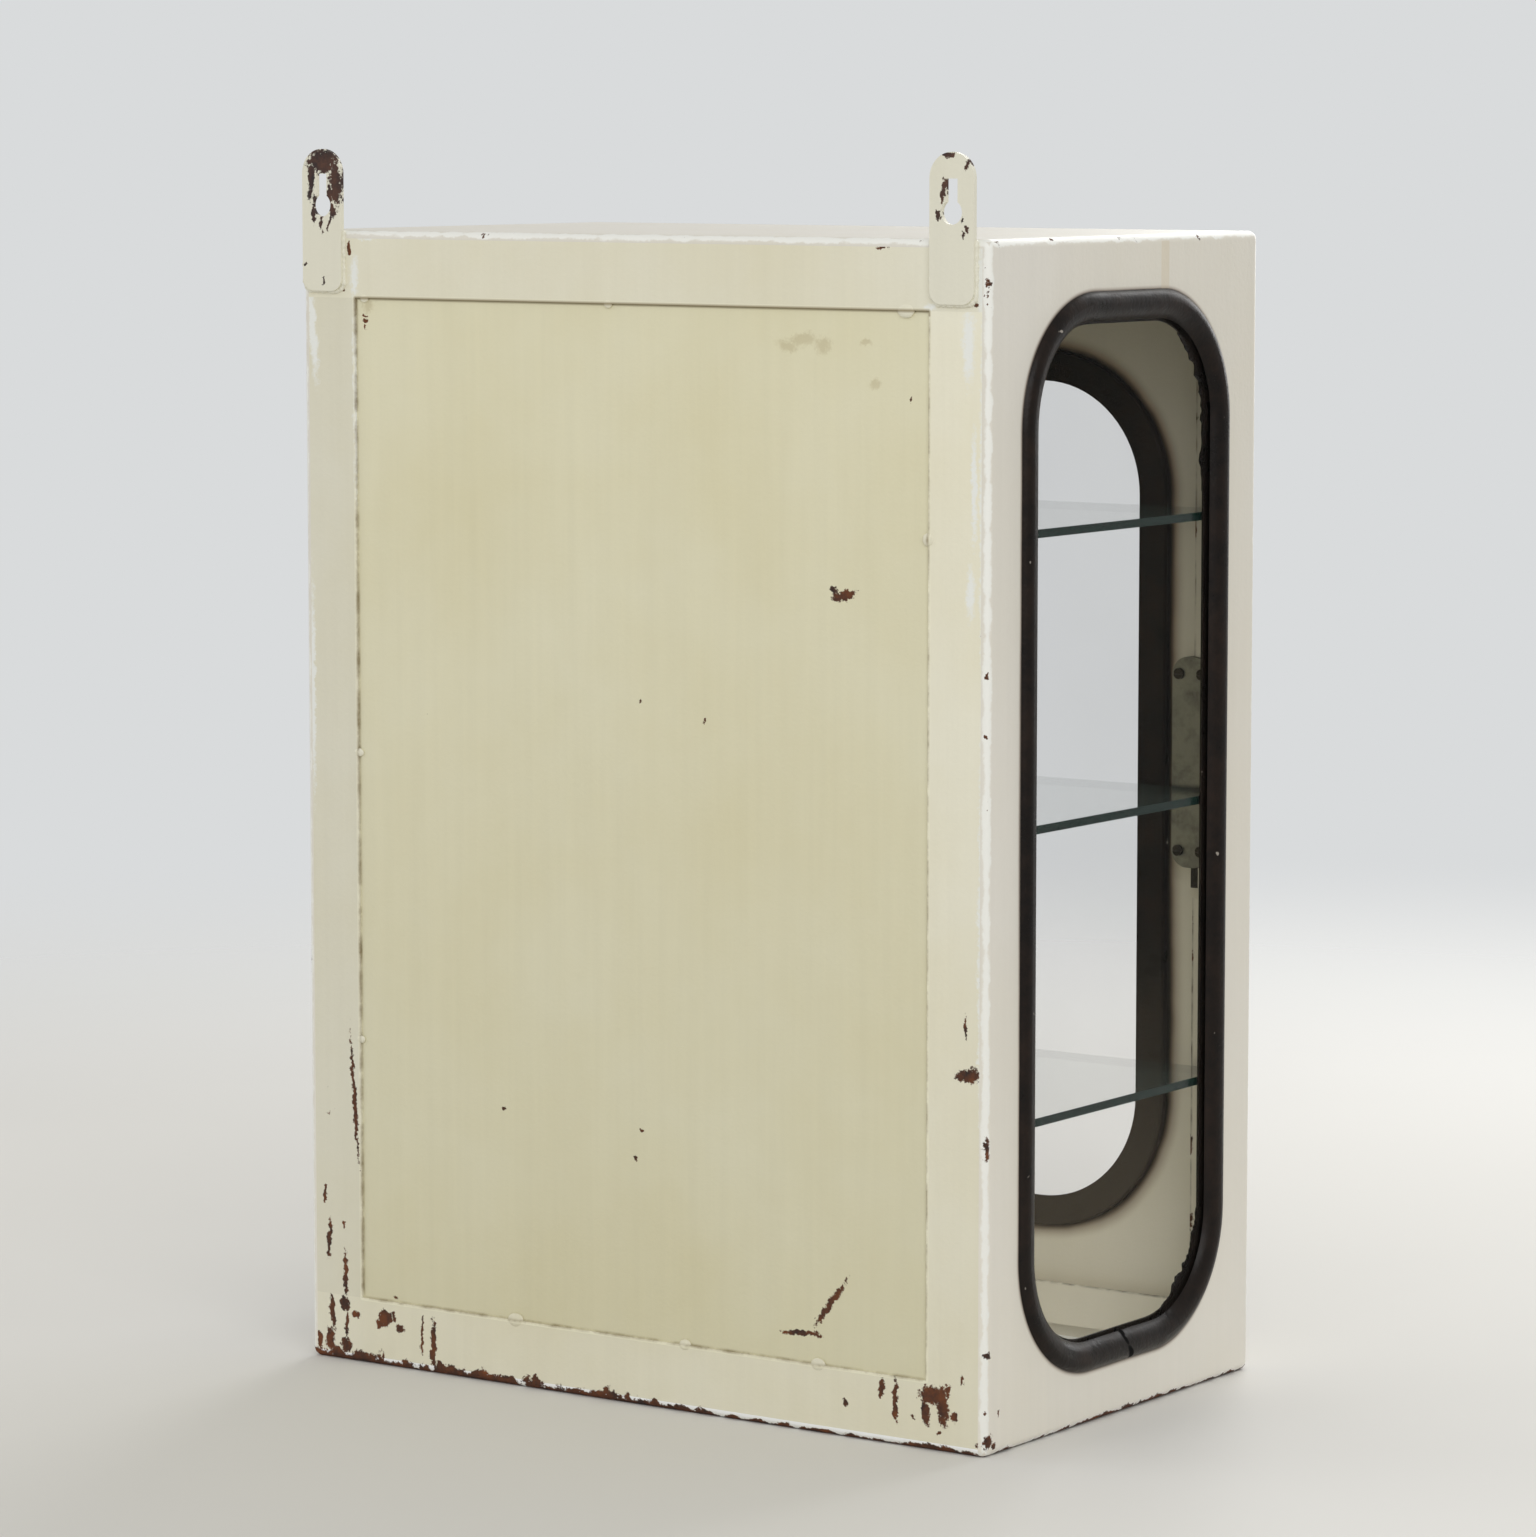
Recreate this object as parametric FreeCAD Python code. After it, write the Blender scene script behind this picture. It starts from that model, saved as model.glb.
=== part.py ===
import FreeCAD, Part
import math
import os

# Wall-hung steel medicine cabinet with glazed sides, a glazed door and glass shelves.
# Millimetres, +Z up, origin at the middle of the underside. The front faces -Y, and left and right
# are as seen from the front: the lock is on the left (-X), the hinges are on the right (+X).

Vector = FreeCAD.Vector

# Case
CASE_WIDTH = 500.0
CASE_DEPTH = 300.0
CASE_HEIGHT = 700.0
CASE_SHEET = 1.5
BEND_RADIUS = 5.0
BACK_FRAME_WIDTH = 41.0
FRONT_FRAME_WIDTH = 13.0
BACK_SHEET = 1.2
BACK_OVERLAP = 26.0

# Hanging lugs, set by eye on the real cabinet and so not quite symmetrical
LUG_WIDTH = 30.0
LUG_LENGTH = 86.0
LUG_THICKNESS = 3.0
LUG_RISE = 49.0
LUG_FOOT_RADIUS = 8.0
LUG_INSET_LEFT = 24.0
LUG_INSET_RIGHT = 18.0
KEYHOLE_RADIUS = 7.0
KEYHOLE_BELOW_TOP = 34.0
KEYHOLE_SLOT_WIDTH = 8.0
KEYHOLE_SLOT_RISE = 19.0

# Glazing gasket: a rubber profile with a round bead outside and a wide flat lip inside
BEAD_WIDTH = 17.5
BEAD_HEIGHT = 4.2
BEAD_CROWN = 7.0
LIP_WIDTH = 19.0
LIP_THICKNESS = 1.5
LIP_CHAMFER = 1.2
PANEL_GRIP = 6.0
GLASS_GRIP_SETBACK = 7.5
GLASS_SINK = 2.0
GLASS_THICKNESS = 3.0
GROOVE_CLEARANCE = 0.1

# Windows: the borders of plain sheet left round the gasket's outer outline
SIDE_WINDOW_BORDER = 35.0
SIDE_WINDOW_END_BORDER = 32.0
SIDE_WINDOW_RADIUS = 78.0
DOOR_WINDOW_LOCK_GAP = 6.0
DOOR_WINDOW_END_BORDER = 75.0
DOOR_WINDOW_RADIUS = 88.0

# Shelves
SHELF_COUNT = 3
SHELF_THICKNESS = 5.0
SHELF_FIRST_UNDERSIDE = 184.0
SHELF_PITCH = 171.75
SHELF_SIDE_GAP = 7.0
SHELF_FRONT_GAP = 19.0
SHELF_BACK_GAP = 8.0
BRACKET_REACH = 14.5
BRACKET_LEG = 16.0
BRACKET_SHEET = 2.0
BRACKET_GASKET_GAP = 2.0
BRACKET_END_GAP = 5.0
BRACKET_DOOR_GAP = 16.0

# Door
DOOR_GAP = 1.5
DOOR_DEPTH = 12.0
DOOR_SHEET = 1.2
DOOR_EDGE_RADIUS = 2.0
DOOR_FLANGE_SIDE = 21.3
DOOR_FLANGE_END = 26.3
STOP_SHEET = 1.5
STOP_REACH = 18.5
STOP_CLEARANCE = 0.7

# Lift-off hinges
HINGE_INSET = 110.0
HINGE_BARREL_RADIUS = 5.5
HINGE_BARREL_CLEARANCE = 0.4
HINGE_KNUCKLE_LENGTH = 30.0
HINGE_KNUCKLE_CAP = 3.0
HINGE_LEAF_WIDTH = 12.0
HINGE_LEAF_THICKNESS = 2.5
HINGE_PIN_RADIUS = 3.0
HINGE_WASHER = 1.0
HINGE_PLAY = 0.2

# Lock, behind a rounded cover on the door's free stile
LOCK_EDGE_GAP = 8.3
LOCK_RISE = 25.4
LOCK_WIDTH = 26.0
LOCK_HEIGHT = 130.0
LOCK_CORNER = 11.0
LOCK_WALL = 1.5
LOCK_COVER_THICKNESS = 2.0
LOCK_SCREW_X = 8.0
LOCK_SCREW_Z = 54.5
LOCK_BOSS_RADIUS = 2.9
SCREW_SHANK_RADIUS = 1.6
SCREW_SHANK_LENGTH = 7.0
SCREW_HEAD_RADIUS = 3.4
SCREW_HEAD_HEIGHT = 1.6
SCREW_SLOT_WIDTH = 0.9
SCREW_SLOT_DEPTH = 0.7
SCREW_CLEARANCE = 0.1
LOCK_PLAY = 0.3
BEARING_PLAY = 0.08
CAM_THICKNESS = 2.5
CAM_PIN_PLAY = 0.4
CAM_RIM = 0.8

# Handle and the bolt that it throws
HANDLE_BELOW_LOCK = 23.4
HANDLE_HUB_RADIUS = 9.0
HANDLE_HUB_LENGTH = 11.0
LEVER_LENGTH = 76.0
LEVER_END_RADIUS = 7.0
LEVER_THICKNESS = 8.0
LEVER_EDGE_RADIUS = 2.5
SPINDLE_RADIUS = 4.0
BOLT_THROW = 9.0
BOLT_THICKNESS = 3.0
BOLT_BELOW_HANDLE = 9.0
BOLT_ABOVE_HANDLE = 16.0
BOLT_TAIL_GAP = 1.0
BOLT_CAM_PIN_RADIUS = 2.0
STRIKE_MARGIN = 6.0
STRIKE_CLEARANCE = 0.5

# Key, and the bar that it drops into the bolt
KEY_ABOVE_LOCK = 26.6
KEY_PLUG_RADIUS = 6.0
KEY_HOUSING_RADIUS = 8.5
KEY_FLANGE_RADIUS = 11.0
KEY_FLANGE_HEIGHT = 2.0
KEY_SLOT_WIDTH = 1.6
KEY_SLOT_DEPTH = 4.0
BAR_DROP = 6.0
BAR_WIDTH = 5.0
BAR_THICKNESS = 2.6
BAR_OFFSET = 2.2
BAR_HEAD_WIDTH = 10.0
BAR_HEAD_HEIGHT = 12.0
BAR_TAIL = 12.4
BAR_TOOTH_HEIGHT = 5.0
BAR_TOOTH_GAP = 1.0
BAR_NOTCH_PLAY = 0.5
KEY_CAM_PIN_RADIUS = 1.5

# Escutcheon under the handle and the key
ESCUTCHEON_WIDTH = 34.0
ESCUTCHEON_HEIGHT = 150.0
ESCUTCHEON_THICKNESS = 3.0
ESCUTCHEON_EDGE_RADIUS = 1.2
ESCUTCHEON_SCREW_Z = 60.0

# Derived planes of the case
SIDE_X = CASE_WIDTH / 2
BACK_Y = CASE_DEPTH / 2
FRONT_Y = -CASE_DEPTH / 2
MIDDLE_Z = CASE_HEIGHT / 2
INNER_X = SIDE_X - CASE_SHEET
FLAT_X = SIDE_X - BEND_RADIUS
FLAT_TOP_Z = CASE_HEIGHT - BEND_RADIUS
BACK_FRAME_X = SIDE_X - BACK_FRAME_WIDTH
BACK_FRAME_TOP_Z = CASE_HEIGHT - BACK_FRAME_WIDTH
FRONT_FRAME_X = SIDE_X - FRONT_FRAME_WIDTH
FRONT_FRAME_TOP_Z = CASE_HEIGHT - FRONT_FRAME_WIDTH
BEYOND = 1.0

# Derived planes of the door
DOOR_X = FRONT_FRAME_X - DOOR_GAP
DOOR_BOTTOM_Z = FRONT_FRAME_WIDTH + DOOR_GAP
DOOR_TOP_Z = CASE_HEIGHT - DOOR_BOTTOM_Z
DOOR_BACK_Y = FRONT_Y + DOOR_DEPTH
DOOR_SKIN_Y = FRONT_Y + DOOR_SHEET
DOOR_FLANGE_Y = DOOR_BACK_Y - DOOR_SHEET
STOP_Y = DOOR_BACK_Y + STOP_CLEARANCE

# Derived places in the lock
LOCK_X = -DOOR_X + DOOR_SHEET + LOCK_EDGE_GAP + LOCK_WIDTH / 2
LOCK_Z = MIDDLE_Z + LOCK_RISE
LOCK_LEFT_X = LOCK_X - LOCK_WIDTH / 2
LOCK_RIGHT_X = LOCK_X + LOCK_WIDTH / 2
LOCK_BOTTOM_Z = LOCK_Z - LOCK_HEIGHT / 2
LOCK_FLOOR_Y = DOOR_SKIN_Y + LOCK_WALL
COVER_Y = DOOR_BACK_Y + LOCK_COVER_THICKNESS
HANDLE_Z = LOCK_Z - HANDLE_BELOW_LOCK
KEY_Z = LOCK_Z + KEY_ABOVE_LOCK
CAM_FRONT_Y = LOCK_FLOOR_Y + LOCK_PLAY
CAM_BACK_Y = CAM_FRONT_Y + CAM_THICKNESS
BAR_BACK_Y = DOOR_BACK_Y - LOCK_PLAY
BAR_FRONT_Y = BAR_BACK_Y - BAR_THICKNESS
BOLT_BACK_Y = BAR_FRONT_Y - LOCK_PLAY
BOLT_FRONT_Y = BOLT_BACK_Y - BOLT_THICKNESS
BOLT_BOTTOM_Z = HANDLE_Z - BOLT_BELOW_HANDLE
BOLT_TOP_Z = HANDLE_Z + BOLT_ABOVE_HANDLE
BAR_X = LOCK_X - BAR_OFFSET
BAR_BOTTOM_Z = LOCK_BOTTOM_Z - BAR_TAIL

# Derived sizes of the windows
SIDE_WINDOW_WIDTH = CASE_DEPTH - 2 * SIDE_WINDOW_BORDER
SIDE_WINDOW_HEIGHT = CASE_HEIGHT - 2 * SIDE_WINDOW_END_BORDER
DOOR_WINDOW_WIDTH = -2 * (LOCK_X + ESCUTCHEON_WIDTH / 2 + DOOR_WINDOW_LOCK_GAP)
DOOR_WINDOW_HEIGHT = CASE_HEIGHT - 2 * DOOR_WINDOW_END_BORDER

# The cam pins swing a quarter turn, from half of it on one side to half of it on the other
HALF_SWING = math.radians(45)
BOLT_CAM_RADIUS = BOLT_THROW / 2 / math.sin(HALF_SWING)
KEY_CAM_RADIUS = BAR_DROP / 2 / math.sin(HALF_SWING)

os.makedirs("parts", exist_ok=True)


def block(x, y, z):
    """A box between two values on each axis."""
    return Part.makeBox(x[1] - x[0], y[1] - y[0], z[1] - z[0], Vector(x[0], y[0], z[0]))


def upright_rod(radius, x, y, z):
    """A round rod along Z."""
    return Part.makeCylinder(radius, z[1] - z[0], Vector(x, y, z[0]), Vector(0, 0, 1))


def rod(radius, x, y, z):
    """A round rod along Y, from front to back."""
    return Part.makeCylinder(radius, y[1] - y[0], Vector(x, y[0], z), Vector(0, 1, 0))


def save(name, *solids):
    """Write one node, whether it is one solid or a group of like ones."""
    shape = solids[0] if len(solids) == 1 else Part.makeCompound(list(solids))
    shape.exportStep("parts/" + name + ".step")


def rounded_outline(width, height, radius, level):
    """A closed outline in the XY plane with round corners, starting half way up its +X side."""
    right = width / 2
    top = height / 2
    cx = right - radius
    cy = top - radius
    diagonal = radius * math.sqrt(0.5)
    edges = []
    corners = [(1, 1), (-1, 1), (-1, -1), (1, -1)]
    start = Vector(right, 0, level)
    for sx, sy in corners:
        on_side = Vector(sx * right, sy * cy, level)
        on_end = Vector(sx * cx, sy * top, level)
        middle = Vector(sx * (cx + diagonal), sy * (cy + diagonal), level)
        first, last = (on_side, on_end) if sx * sy > 0 else (on_end, on_side)
        edges.append(Part.makeLine(start, first))
        edges.append(Part.Arc(first, middle, last).toShape())
        start = last
    edges.append(Part.makeLine(start, Vector(right, 0, level)))
    return Part.Wire(edges)


def rounded_plate(width, height, radius, low, high):
    """A round-cornered plate in the XY plane, between two levels."""
    face = Part.Face(rounded_outline(width, height, radius, low))
    return face.extrude(Vector(0, 0, high - low))


def facing(shape, outward, middle):
    """Turn a shape from the XY plane so that its +Z points outward and its +Y points up."""
    up = Vector(0, 0, 1)
    turn = FreeCAD.Rotation(up.cross(outward), up, outward, "ZXY")
    placed = shape.copy()
    placed.Placement = FreeCAD.Placement(middle, turn)
    return placed


def panel_opening(width, height, radius):
    """The hole that a window's gasket clips into, cut well past both faces of its panel."""
    grip = 2 * PANEL_GRIP
    depth = GLASS_SINK + GLASS_THICKNESS + LIP_THICKNESS
    return rounded_plate(width - grip, height - grip, radius - PANEL_GRIP, -depth, BEAD_HEIGHT)


def window_glass(width, height, radius):
    """The pane that sits in a window's gasket."""
    setback = 2 * GLASS_GRIP_SETBACK
    inner = radius - GLASS_GRIP_SETBACK
    return rounded_plate(width - setback, height - setback, inner, -GLASS_SINK - GLASS_THICKNESS, -GLASS_SINK)


def window_gasket(width, height, radius, sheet):
    """The gasket round a window: its section swept along the outline, bead on +Z, lip on -Z."""
    edge = width / 2
    glass_back = -GLASS_SINK - GLASS_THICKNESS
    lip_back = glass_back - LIP_THICKNESS
    panel_groove = PANEL_GRIP + GROOVE_CLEARANCE
    glass_groove = GLASS_GRIP_SETBACK - GROOVE_CLEARANCE

    def at(inward, level):
        return Vector(edge - inward, 0, level)

    def shoulder(reach, drop):
        """Halfway along the arc that leaves the crown level and falls by drop at that reach."""
        bend = (reach ** 2 + drop ** 2) / (2 * drop)
        half_turn = math.atan2(drop, abs(reach))
        return at(BEAD_CROWN + math.copysign(bend * math.sin(half_turn), reach),
                  BEAD_HEIGHT - bend * (1 - math.cos(half_turn)))

    crown = at(BEAD_CROWN, BEAD_HEIGHT)
    bead_end = at(BEAD_WIDTH, -GLASS_SINK)
    outer_shoulder = shoulder(-BEAD_CROWN, BEAD_HEIGHT)
    inner_shoulder = shoulder(BEAD_WIDTH - BEAD_CROWN, BEAD_HEIGHT + GLASS_SINK)
    corners = [
        bead_end,
        at(glass_groove, -GLASS_SINK),
        at(glass_groove, glass_back),
        at(LIP_WIDTH, glass_back),
        at(LIP_WIDTH, lip_back),
        at(LIP_CHAMFER, lip_back),
        at(0, lip_back + LIP_CHAMFER),
        at(0, -sheet),
        at(panel_groove, -sheet),
        at(panel_groove, 0),
        at(0, 0),
    ]
    outer_bead = Part.Arc(at(0, 0), outer_shoulder, crown).toShape()
    inner_bead = Part.Arc(crown, inner_shoulder, bead_end).toShape()
    edges = [outer_bead, inner_bead]
    edges += [Part.makeLine(first, last) for first, last in zip(corners, corners[1:])]
    path = rounded_outline(width, height, radius, 0)
    return path.makePipeShell([Part.Wire(edges)], True, False)


def build_case():
    """The welded case: panels with bent edges, and the frames round the back and the front."""
    outer = block((-SIDE_X, SIDE_X), (FRONT_Y, BACK_Y), (0, CASE_HEIGHT))
    outer = outer.makeFillet(BEND_RADIUS, outer.Edges)
    inner = block((-INNER_X, INNER_X), (FRONT_Y + CASE_SHEET, BACK_Y - CASE_SHEET),
                  (CASE_SHEET, CASE_HEIGHT - CASE_SHEET))
    inner = inner.makeFillet(BEND_RADIUS - CASE_SHEET, inner.Edges)
    shell = outer.cut(inner)
    all_y = (FRONT_Y - BEYOND, BACK_Y + BEYOND)
    all_z = (-BEYOND, CASE_HEIGHT + BEYOND)
    flat_x = (-FLAT_X, FLAT_X)
    front_y = (FRONT_Y - BEYOND, FRONT_Y + BEND_RADIUS)
    back_y = (BACK_Y - BEND_RADIUS, BACK_Y + BEYOND)

    opening = panel_opening(SIDE_WINDOW_WIDTH, SIDE_WINDOW_HEIGHT, SIDE_WINDOW_RADIUS)
    for name, side in (("left", -1), ("right", 1)):
        edge_x = sorted((side * FLAT_X, side * (SIDE_X + BEYOND)))
        panel = shell.common(block(edge_x, all_y, all_z))
        window = facing(opening, Vector(side, 0, 0), Vector(side * SIDE_X, 0, MIDDLE_Z))
        save("side_panel_" + name, panel.cut(window).Solids[0])
        back_x = sorted((side * BACK_FRAME_X, side * FLAT_X))
        back_z = (BACK_FRAME_WIDTH, BACK_FRAME_TOP_Z)
        save("back_stile_" + name, shell.common(block(back_x, back_y, back_z)).Solids[0])
        front_x = sorted((side * FRONT_FRAME_X, side * FLAT_X))
        front_z = (FRONT_FRAME_WIDTH, FRONT_FRAME_TOP_Z)
        save("front_stile_" + name, shell.common(block(front_x, front_y, front_z)).Solids[0])

    top = ((FLAT_TOP_Z, all_z[1]), (BACK_FRAME_TOP_Z, FLAT_TOP_Z), (FRONT_FRAME_TOP_Z, FLAT_TOP_Z))
    bottom = ((all_z[0], BEND_RADIUS), (BEND_RADIUS, BACK_FRAME_WIDTH), (BEND_RADIUS, FRONT_FRAME_WIDTH))
    for name, (panel_z, back_z, front_z) in (("top", top), ("bottom", bottom)):
        save(name + "_panel", shell.common(block(flat_x, all_y, panel_z)).Solids[0])
        save("back_rail_" + name, shell.common(block(flat_x, back_y, back_z)).Solids[0])
        save("front_rail_" + name, shell.common(block(flat_x, front_y, front_z)).Solids[0])

    sheet_x = BACK_FRAME_X + BACK_OVERLAP
    sheet_y = (BACK_Y - CASE_SHEET - BACK_SHEET, BACK_Y - CASE_SHEET)
    sheet_z = (BACK_FRAME_WIDTH - BACK_OVERLAP, BACK_FRAME_TOP_Z + BACK_OVERLAP)
    save("back_panel", block((-sheet_x, sheet_x), sheet_y, sheet_z))


def build_hanger_lugs():
    """Two flat-bar ears welded to the top rail at the back, each with a keyhole."""
    top = CASE_HEIGHT + LUG_RISE
    bottom = top - LUG_LENGTH
    half = LUG_WIDTH / 2
    rear_y = BACK_Y + LUG_THICKNESS
    ear_y = (BACK_Y, rear_y)
    cut_y = (BACK_Y - BEYOND, rear_y + BEYOND)
    bulb_z = top - KEYHOLE_BELOW_TOP
    slot_z = (bulb_z, bulb_z + KEYHOLE_SLOT_RISE)
    for name, x in (("left", -SIDE_X + LUG_INSET_LEFT), ("right", SIDE_X - LUG_INSET_RIGHT)):
        bar = block((x - half, x + half), ear_y, (bottom, top - half))
        feet = [e for e in bar.Edges if e.BoundBox.ZMax < bottom + BEYOND and e.BoundBox.YLength > BEYOND]
        bar = bar.makeFillet(LUG_FOOT_RADIUS, feet)
        ear = bar.fuse(rod(half, x, ear_y, top - half))
        ear = ear.cut(rod(KEYHOLE_RADIUS, x, cut_y, bulb_z))
        slot_x = (x - KEYHOLE_SLOT_WIDTH / 2, x + KEYHOLE_SLOT_WIDTH / 2)
        ear = ear.cut(block(slot_x, cut_y, slot_z))
        save("hanger_lug_" + name, ear.removeSplitter().Solids[0])


def build_side_windows():
    """The long window in each side: gasket and pane."""
    size = (SIDE_WINDOW_WIDTH, SIDE_WINDOW_HEIGHT, SIDE_WINDOW_RADIUS)
    gasket = window_gasket(*size, CASE_SHEET)
    pane = window_glass(*size)
    for name, side in (("left", -1), ("right", 1)):
        outward = Vector(side, 0, 0)
        middle = Vector(side * SIDE_X, 0, MIDDLE_Z)
        save("side_gasket_" + name, facing(gasket, outward, middle))
        save("side_glass_" + name, facing(pane, outward, middle))


def build_shelves():
    """Glass shelves, and the small angle brackets at the corners of each."""
    shelf_x = (-SIDE_X + SHELF_SIDE_GAP, SIDE_X - SHELF_SIDE_GAP)
    shelf_y = (FRONT_Y + SHELF_FRONT_GAP, BACK_Y - SHELF_BACK_GAP)
    undersides = [SHELF_FIRST_UNDERSIDE + SHELF_PITCH * i for i in range(SHELF_COUNT)]
    for name, z in zip(("lower", "middle", "upper"), undersides):
        shelf = block(shelf_x, shelf_y, (z, z + SHELF_THICKNESS))
        save("shelf_" + name, shelf)

    length = SIDE_WINDOW_BORDER - BRACKET_DOOR_GAP - BRACKET_GASKET_GAP
    front = FRONT_Y + BRACKET_DOOR_GAP
    back = BACK_Y - BRACKET_END_GAP
    spans = ((front, front + length), (back - length, back))
    for name, side in (("left", -1), ("right", 1)):
        tab_x = sorted((side * (INNER_X - BRACKET_REACH), side * INNER_X))
        leg_x = sorted((side * (INNER_X - BRACKET_SHEET), side * INNER_X))
        brackets = []
        for z in undersides:
            for y in spans:
                tab = block(tab_x, y, (z - BRACKET_SHEET, z))
                brackets.append(tab.fuse(block(leg_x, y, (z - BRACKET_LEG, z))).removeSplitter().Solids[0])
        save("shelf_brackets_" + name, *brackets)


def build_door_stops():
    """Flat strips inside the front frame, which the closed door meets at its free edge and its top."""
    y = (STOP_Y, STOP_Y + STOP_SHEET)
    roof = CASE_HEIGHT - CASE_SHEET
    side_z = (DOOR_BOTTOM_Z, roof - STOP_REACH - BEYOND)
    save("door_stop_side", block((-INNER_X, -INNER_X + STOP_REACH), y, side_z))
    save("door_stop_top", block((-FRONT_FRAME_X, FRONT_FRAME_X), y, (roof - STOP_REACH, roof)))


def build_hinges():
    """Two lift-off hinges: a pin in the case's knuckle, and the door's knuckle dropped over it."""
    x = SIDE_X - FRONT_FRAME_WIDTH - DOOR_GAP / 2
    y = FRONT_Y - HINGE_BARREL_RADIUS - HINGE_BARREL_CLEARANCE
    leaf_y = (FRONT_Y - HINGE_LEAF_THICKNESS, FRONT_Y)
    bore = HINGE_PIN_RADIUS + BEARING_PLAY
    for name, middle in (("upper", CASE_HEIGHT - HINGE_INSET), ("lower", HINGE_INSET)):
        washer_z = (middle - HINGE_WASHER / 2, middle + HINGE_WASHER / 2)
        low_z = (washer_z[0] - HINGE_KNUCKLE_LENGTH, washer_z[0])
        high_z = (washer_z[1] + HINGE_PLAY, washer_z[1] + HINGE_PLAY + HINGE_KNUCKLE_LENGTH)
        bore_top = high_z[1] - HINGE_KNUCKLE_CAP
        pin_z = (low_z[0], bore_top - HINGE_PLAY)

        low = upright_rod(HINGE_BARREL_RADIUS, x, y, low_z)
        low = low.fuse(block((x, x + HINGE_LEAF_WIDTH), leaf_y, low_z))
        low = low.cut(upright_rod(bore, x, y, (low_z[0] - BEYOND, low_z[1] + BEYOND)))
        high = upright_rod(HINGE_BARREL_RADIUS, x, y, high_z)
        high = high.fuse(block((x - HINGE_LEAF_WIDTH, x), leaf_y, high_z))
        high = high.cut(upright_rod(bore, x, y, (high_z[0] - BEYOND, bore_top)))
        ring = upright_rod(HINGE_BARREL_RADIUS, x, y, washer_z).cut(upright_rod(bore, x, y, washer_z))
        save(name + "_hinge_case_knuckle", low.removeSplitter().Solids[0])
        save(name + "_hinge_door_knuckle", high.removeSplitter().Solids[0])
        save(name + "_hinge_pin", upright_rod(HINGE_PIN_RADIUS, x, y, pin_z))
        save(name + "_hinge_washer", ring)


def build_door():
    """The door: a folded pan with a window, cut for the lock, with its gasket and pane."""
    pan = block((-DOOR_X, DOOR_X), (FRONT_Y, DOOR_BACK_Y), (DOOR_BOTTOM_Z, DOOR_TOP_Z))
    rim = [e for e in pan.Edges if e.BoundBox.YMax < FRONT_Y + BEYOND]
    pan = pan.makeFillet(DOOR_EDGE_RADIUS, rim)
    wall_x = DOOR_X - DOOR_SHEET
    wall_z = (DOOR_BOTTOM_Z + DOOR_SHEET, DOOR_TOP_Z - DOOR_SHEET)
    pan = pan.cut(block((-wall_x, wall_x), (DOOR_SKIN_Y, DOOR_FLANGE_Y), wall_z))
    flange_x = DOOR_X - DOOR_FLANGE_SIDE
    flange_z = (DOOR_BOTTOM_Z + DOOR_FLANGE_END, DOOR_TOP_Z - DOOR_FLANGE_END)
    flange_y = (DOOR_FLANGE_Y - BEYOND, DOOR_BACK_Y + BEYOND)
    pan = pan.cut(block((-flange_x, flange_x), flange_y, flange_z))

    size = (DOOR_WINDOW_WIDTH, DOOR_WINDOW_HEIGHT, DOOR_WINDOW_RADIUS)
    outward = Vector(0, -1, 0)
    middle = Vector(0, FRONT_Y, MIDDLE_Z)
    pan = pan.cut(facing(panel_opening(*size), outward, middle))
    save("door_gasket", facing(window_gasket(*size, DOOR_SHEET), outward, middle))
    save("door_glass", facing(window_glass(*size), outward, middle))

    case_notch = lock_outline(LOCK_PLAY, flange_y)
    tail_half = BAR_WIDTH / 2 + LOCK_PLAY
    tail_x = (BAR_X - tail_half, -flange_x + BEYOND)
    tail_notch = block(tail_x, flange_y, (BAR_BOTTOM_Z - BAR_DROP - LOCK_PLAY, LOCK_Z))
    bolt_x = (-DOOR_X - BEYOND, -DOOR_X + DOOR_SHEET + BEYOND)
    through_y = (FRONT_Y - BEYOND, LOCK_FLOOR_Y)
    for cutter in (
        case_notch,
        tail_notch,
        bolt_slot(bolt_x),
        rod(SPINDLE_RADIUS + LOCK_PLAY, LOCK_X, through_y, HANDLE_Z),
        rod(KEY_HOUSING_RADIUS + SCREW_CLEARANCE, LOCK_X, through_y, KEY_Z),
    ):
        pan = pan.cut(cutter)
    for z in escutcheon_screw_heights():
        pan = pan.cut(rod(SCREW_SHANK_RADIUS + SCREW_CLEARANCE, LOCK_X, through_y, z))
    save("door_panel", pan.Solids[0])


def lock_outline(margin, y):
    """The lock's round-cornered outline, with a margin all round, between two values of Y."""
    width = LOCK_WIDTH + 2 * margin
    height = LOCK_HEIGHT + 2 * margin
    plate = rounded_plate(width, height, LOCK_CORNER + margin, 0, y[1] - y[0])
    return facing(plate, Vector(0, -1, 0), Vector(LOCK_X, y[1], LOCK_Z))


def bolt_slot(x):
    """The slot that the bolt slides through, between two values of X."""
    y = (BOLT_FRONT_Y - LOCK_PLAY, BOLT_BACK_Y + LOCK_PLAY)
    return block(x, y, (BOLT_BOTTOM_Z - LOCK_PLAY, BOLT_TOP_Z + LOCK_PLAY))


def lock_screw_places():
    """The four screws at the corners of the lock cover."""
    return [(LOCK_X + sx * LOCK_SCREW_X, LOCK_Z + sz * LOCK_SCREW_Z) for sx in (-1, 1) for sz in (-1, 1)]


def escutcheon_screw_heights():
    """The two screws that hold the escutcheon, above the key and below the handle's hub."""
    return [LOCK_Z - ESCUTCHEON_SCREW_Z, LOCK_Z + ESCUTCHEON_SCREW_Z]


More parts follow.
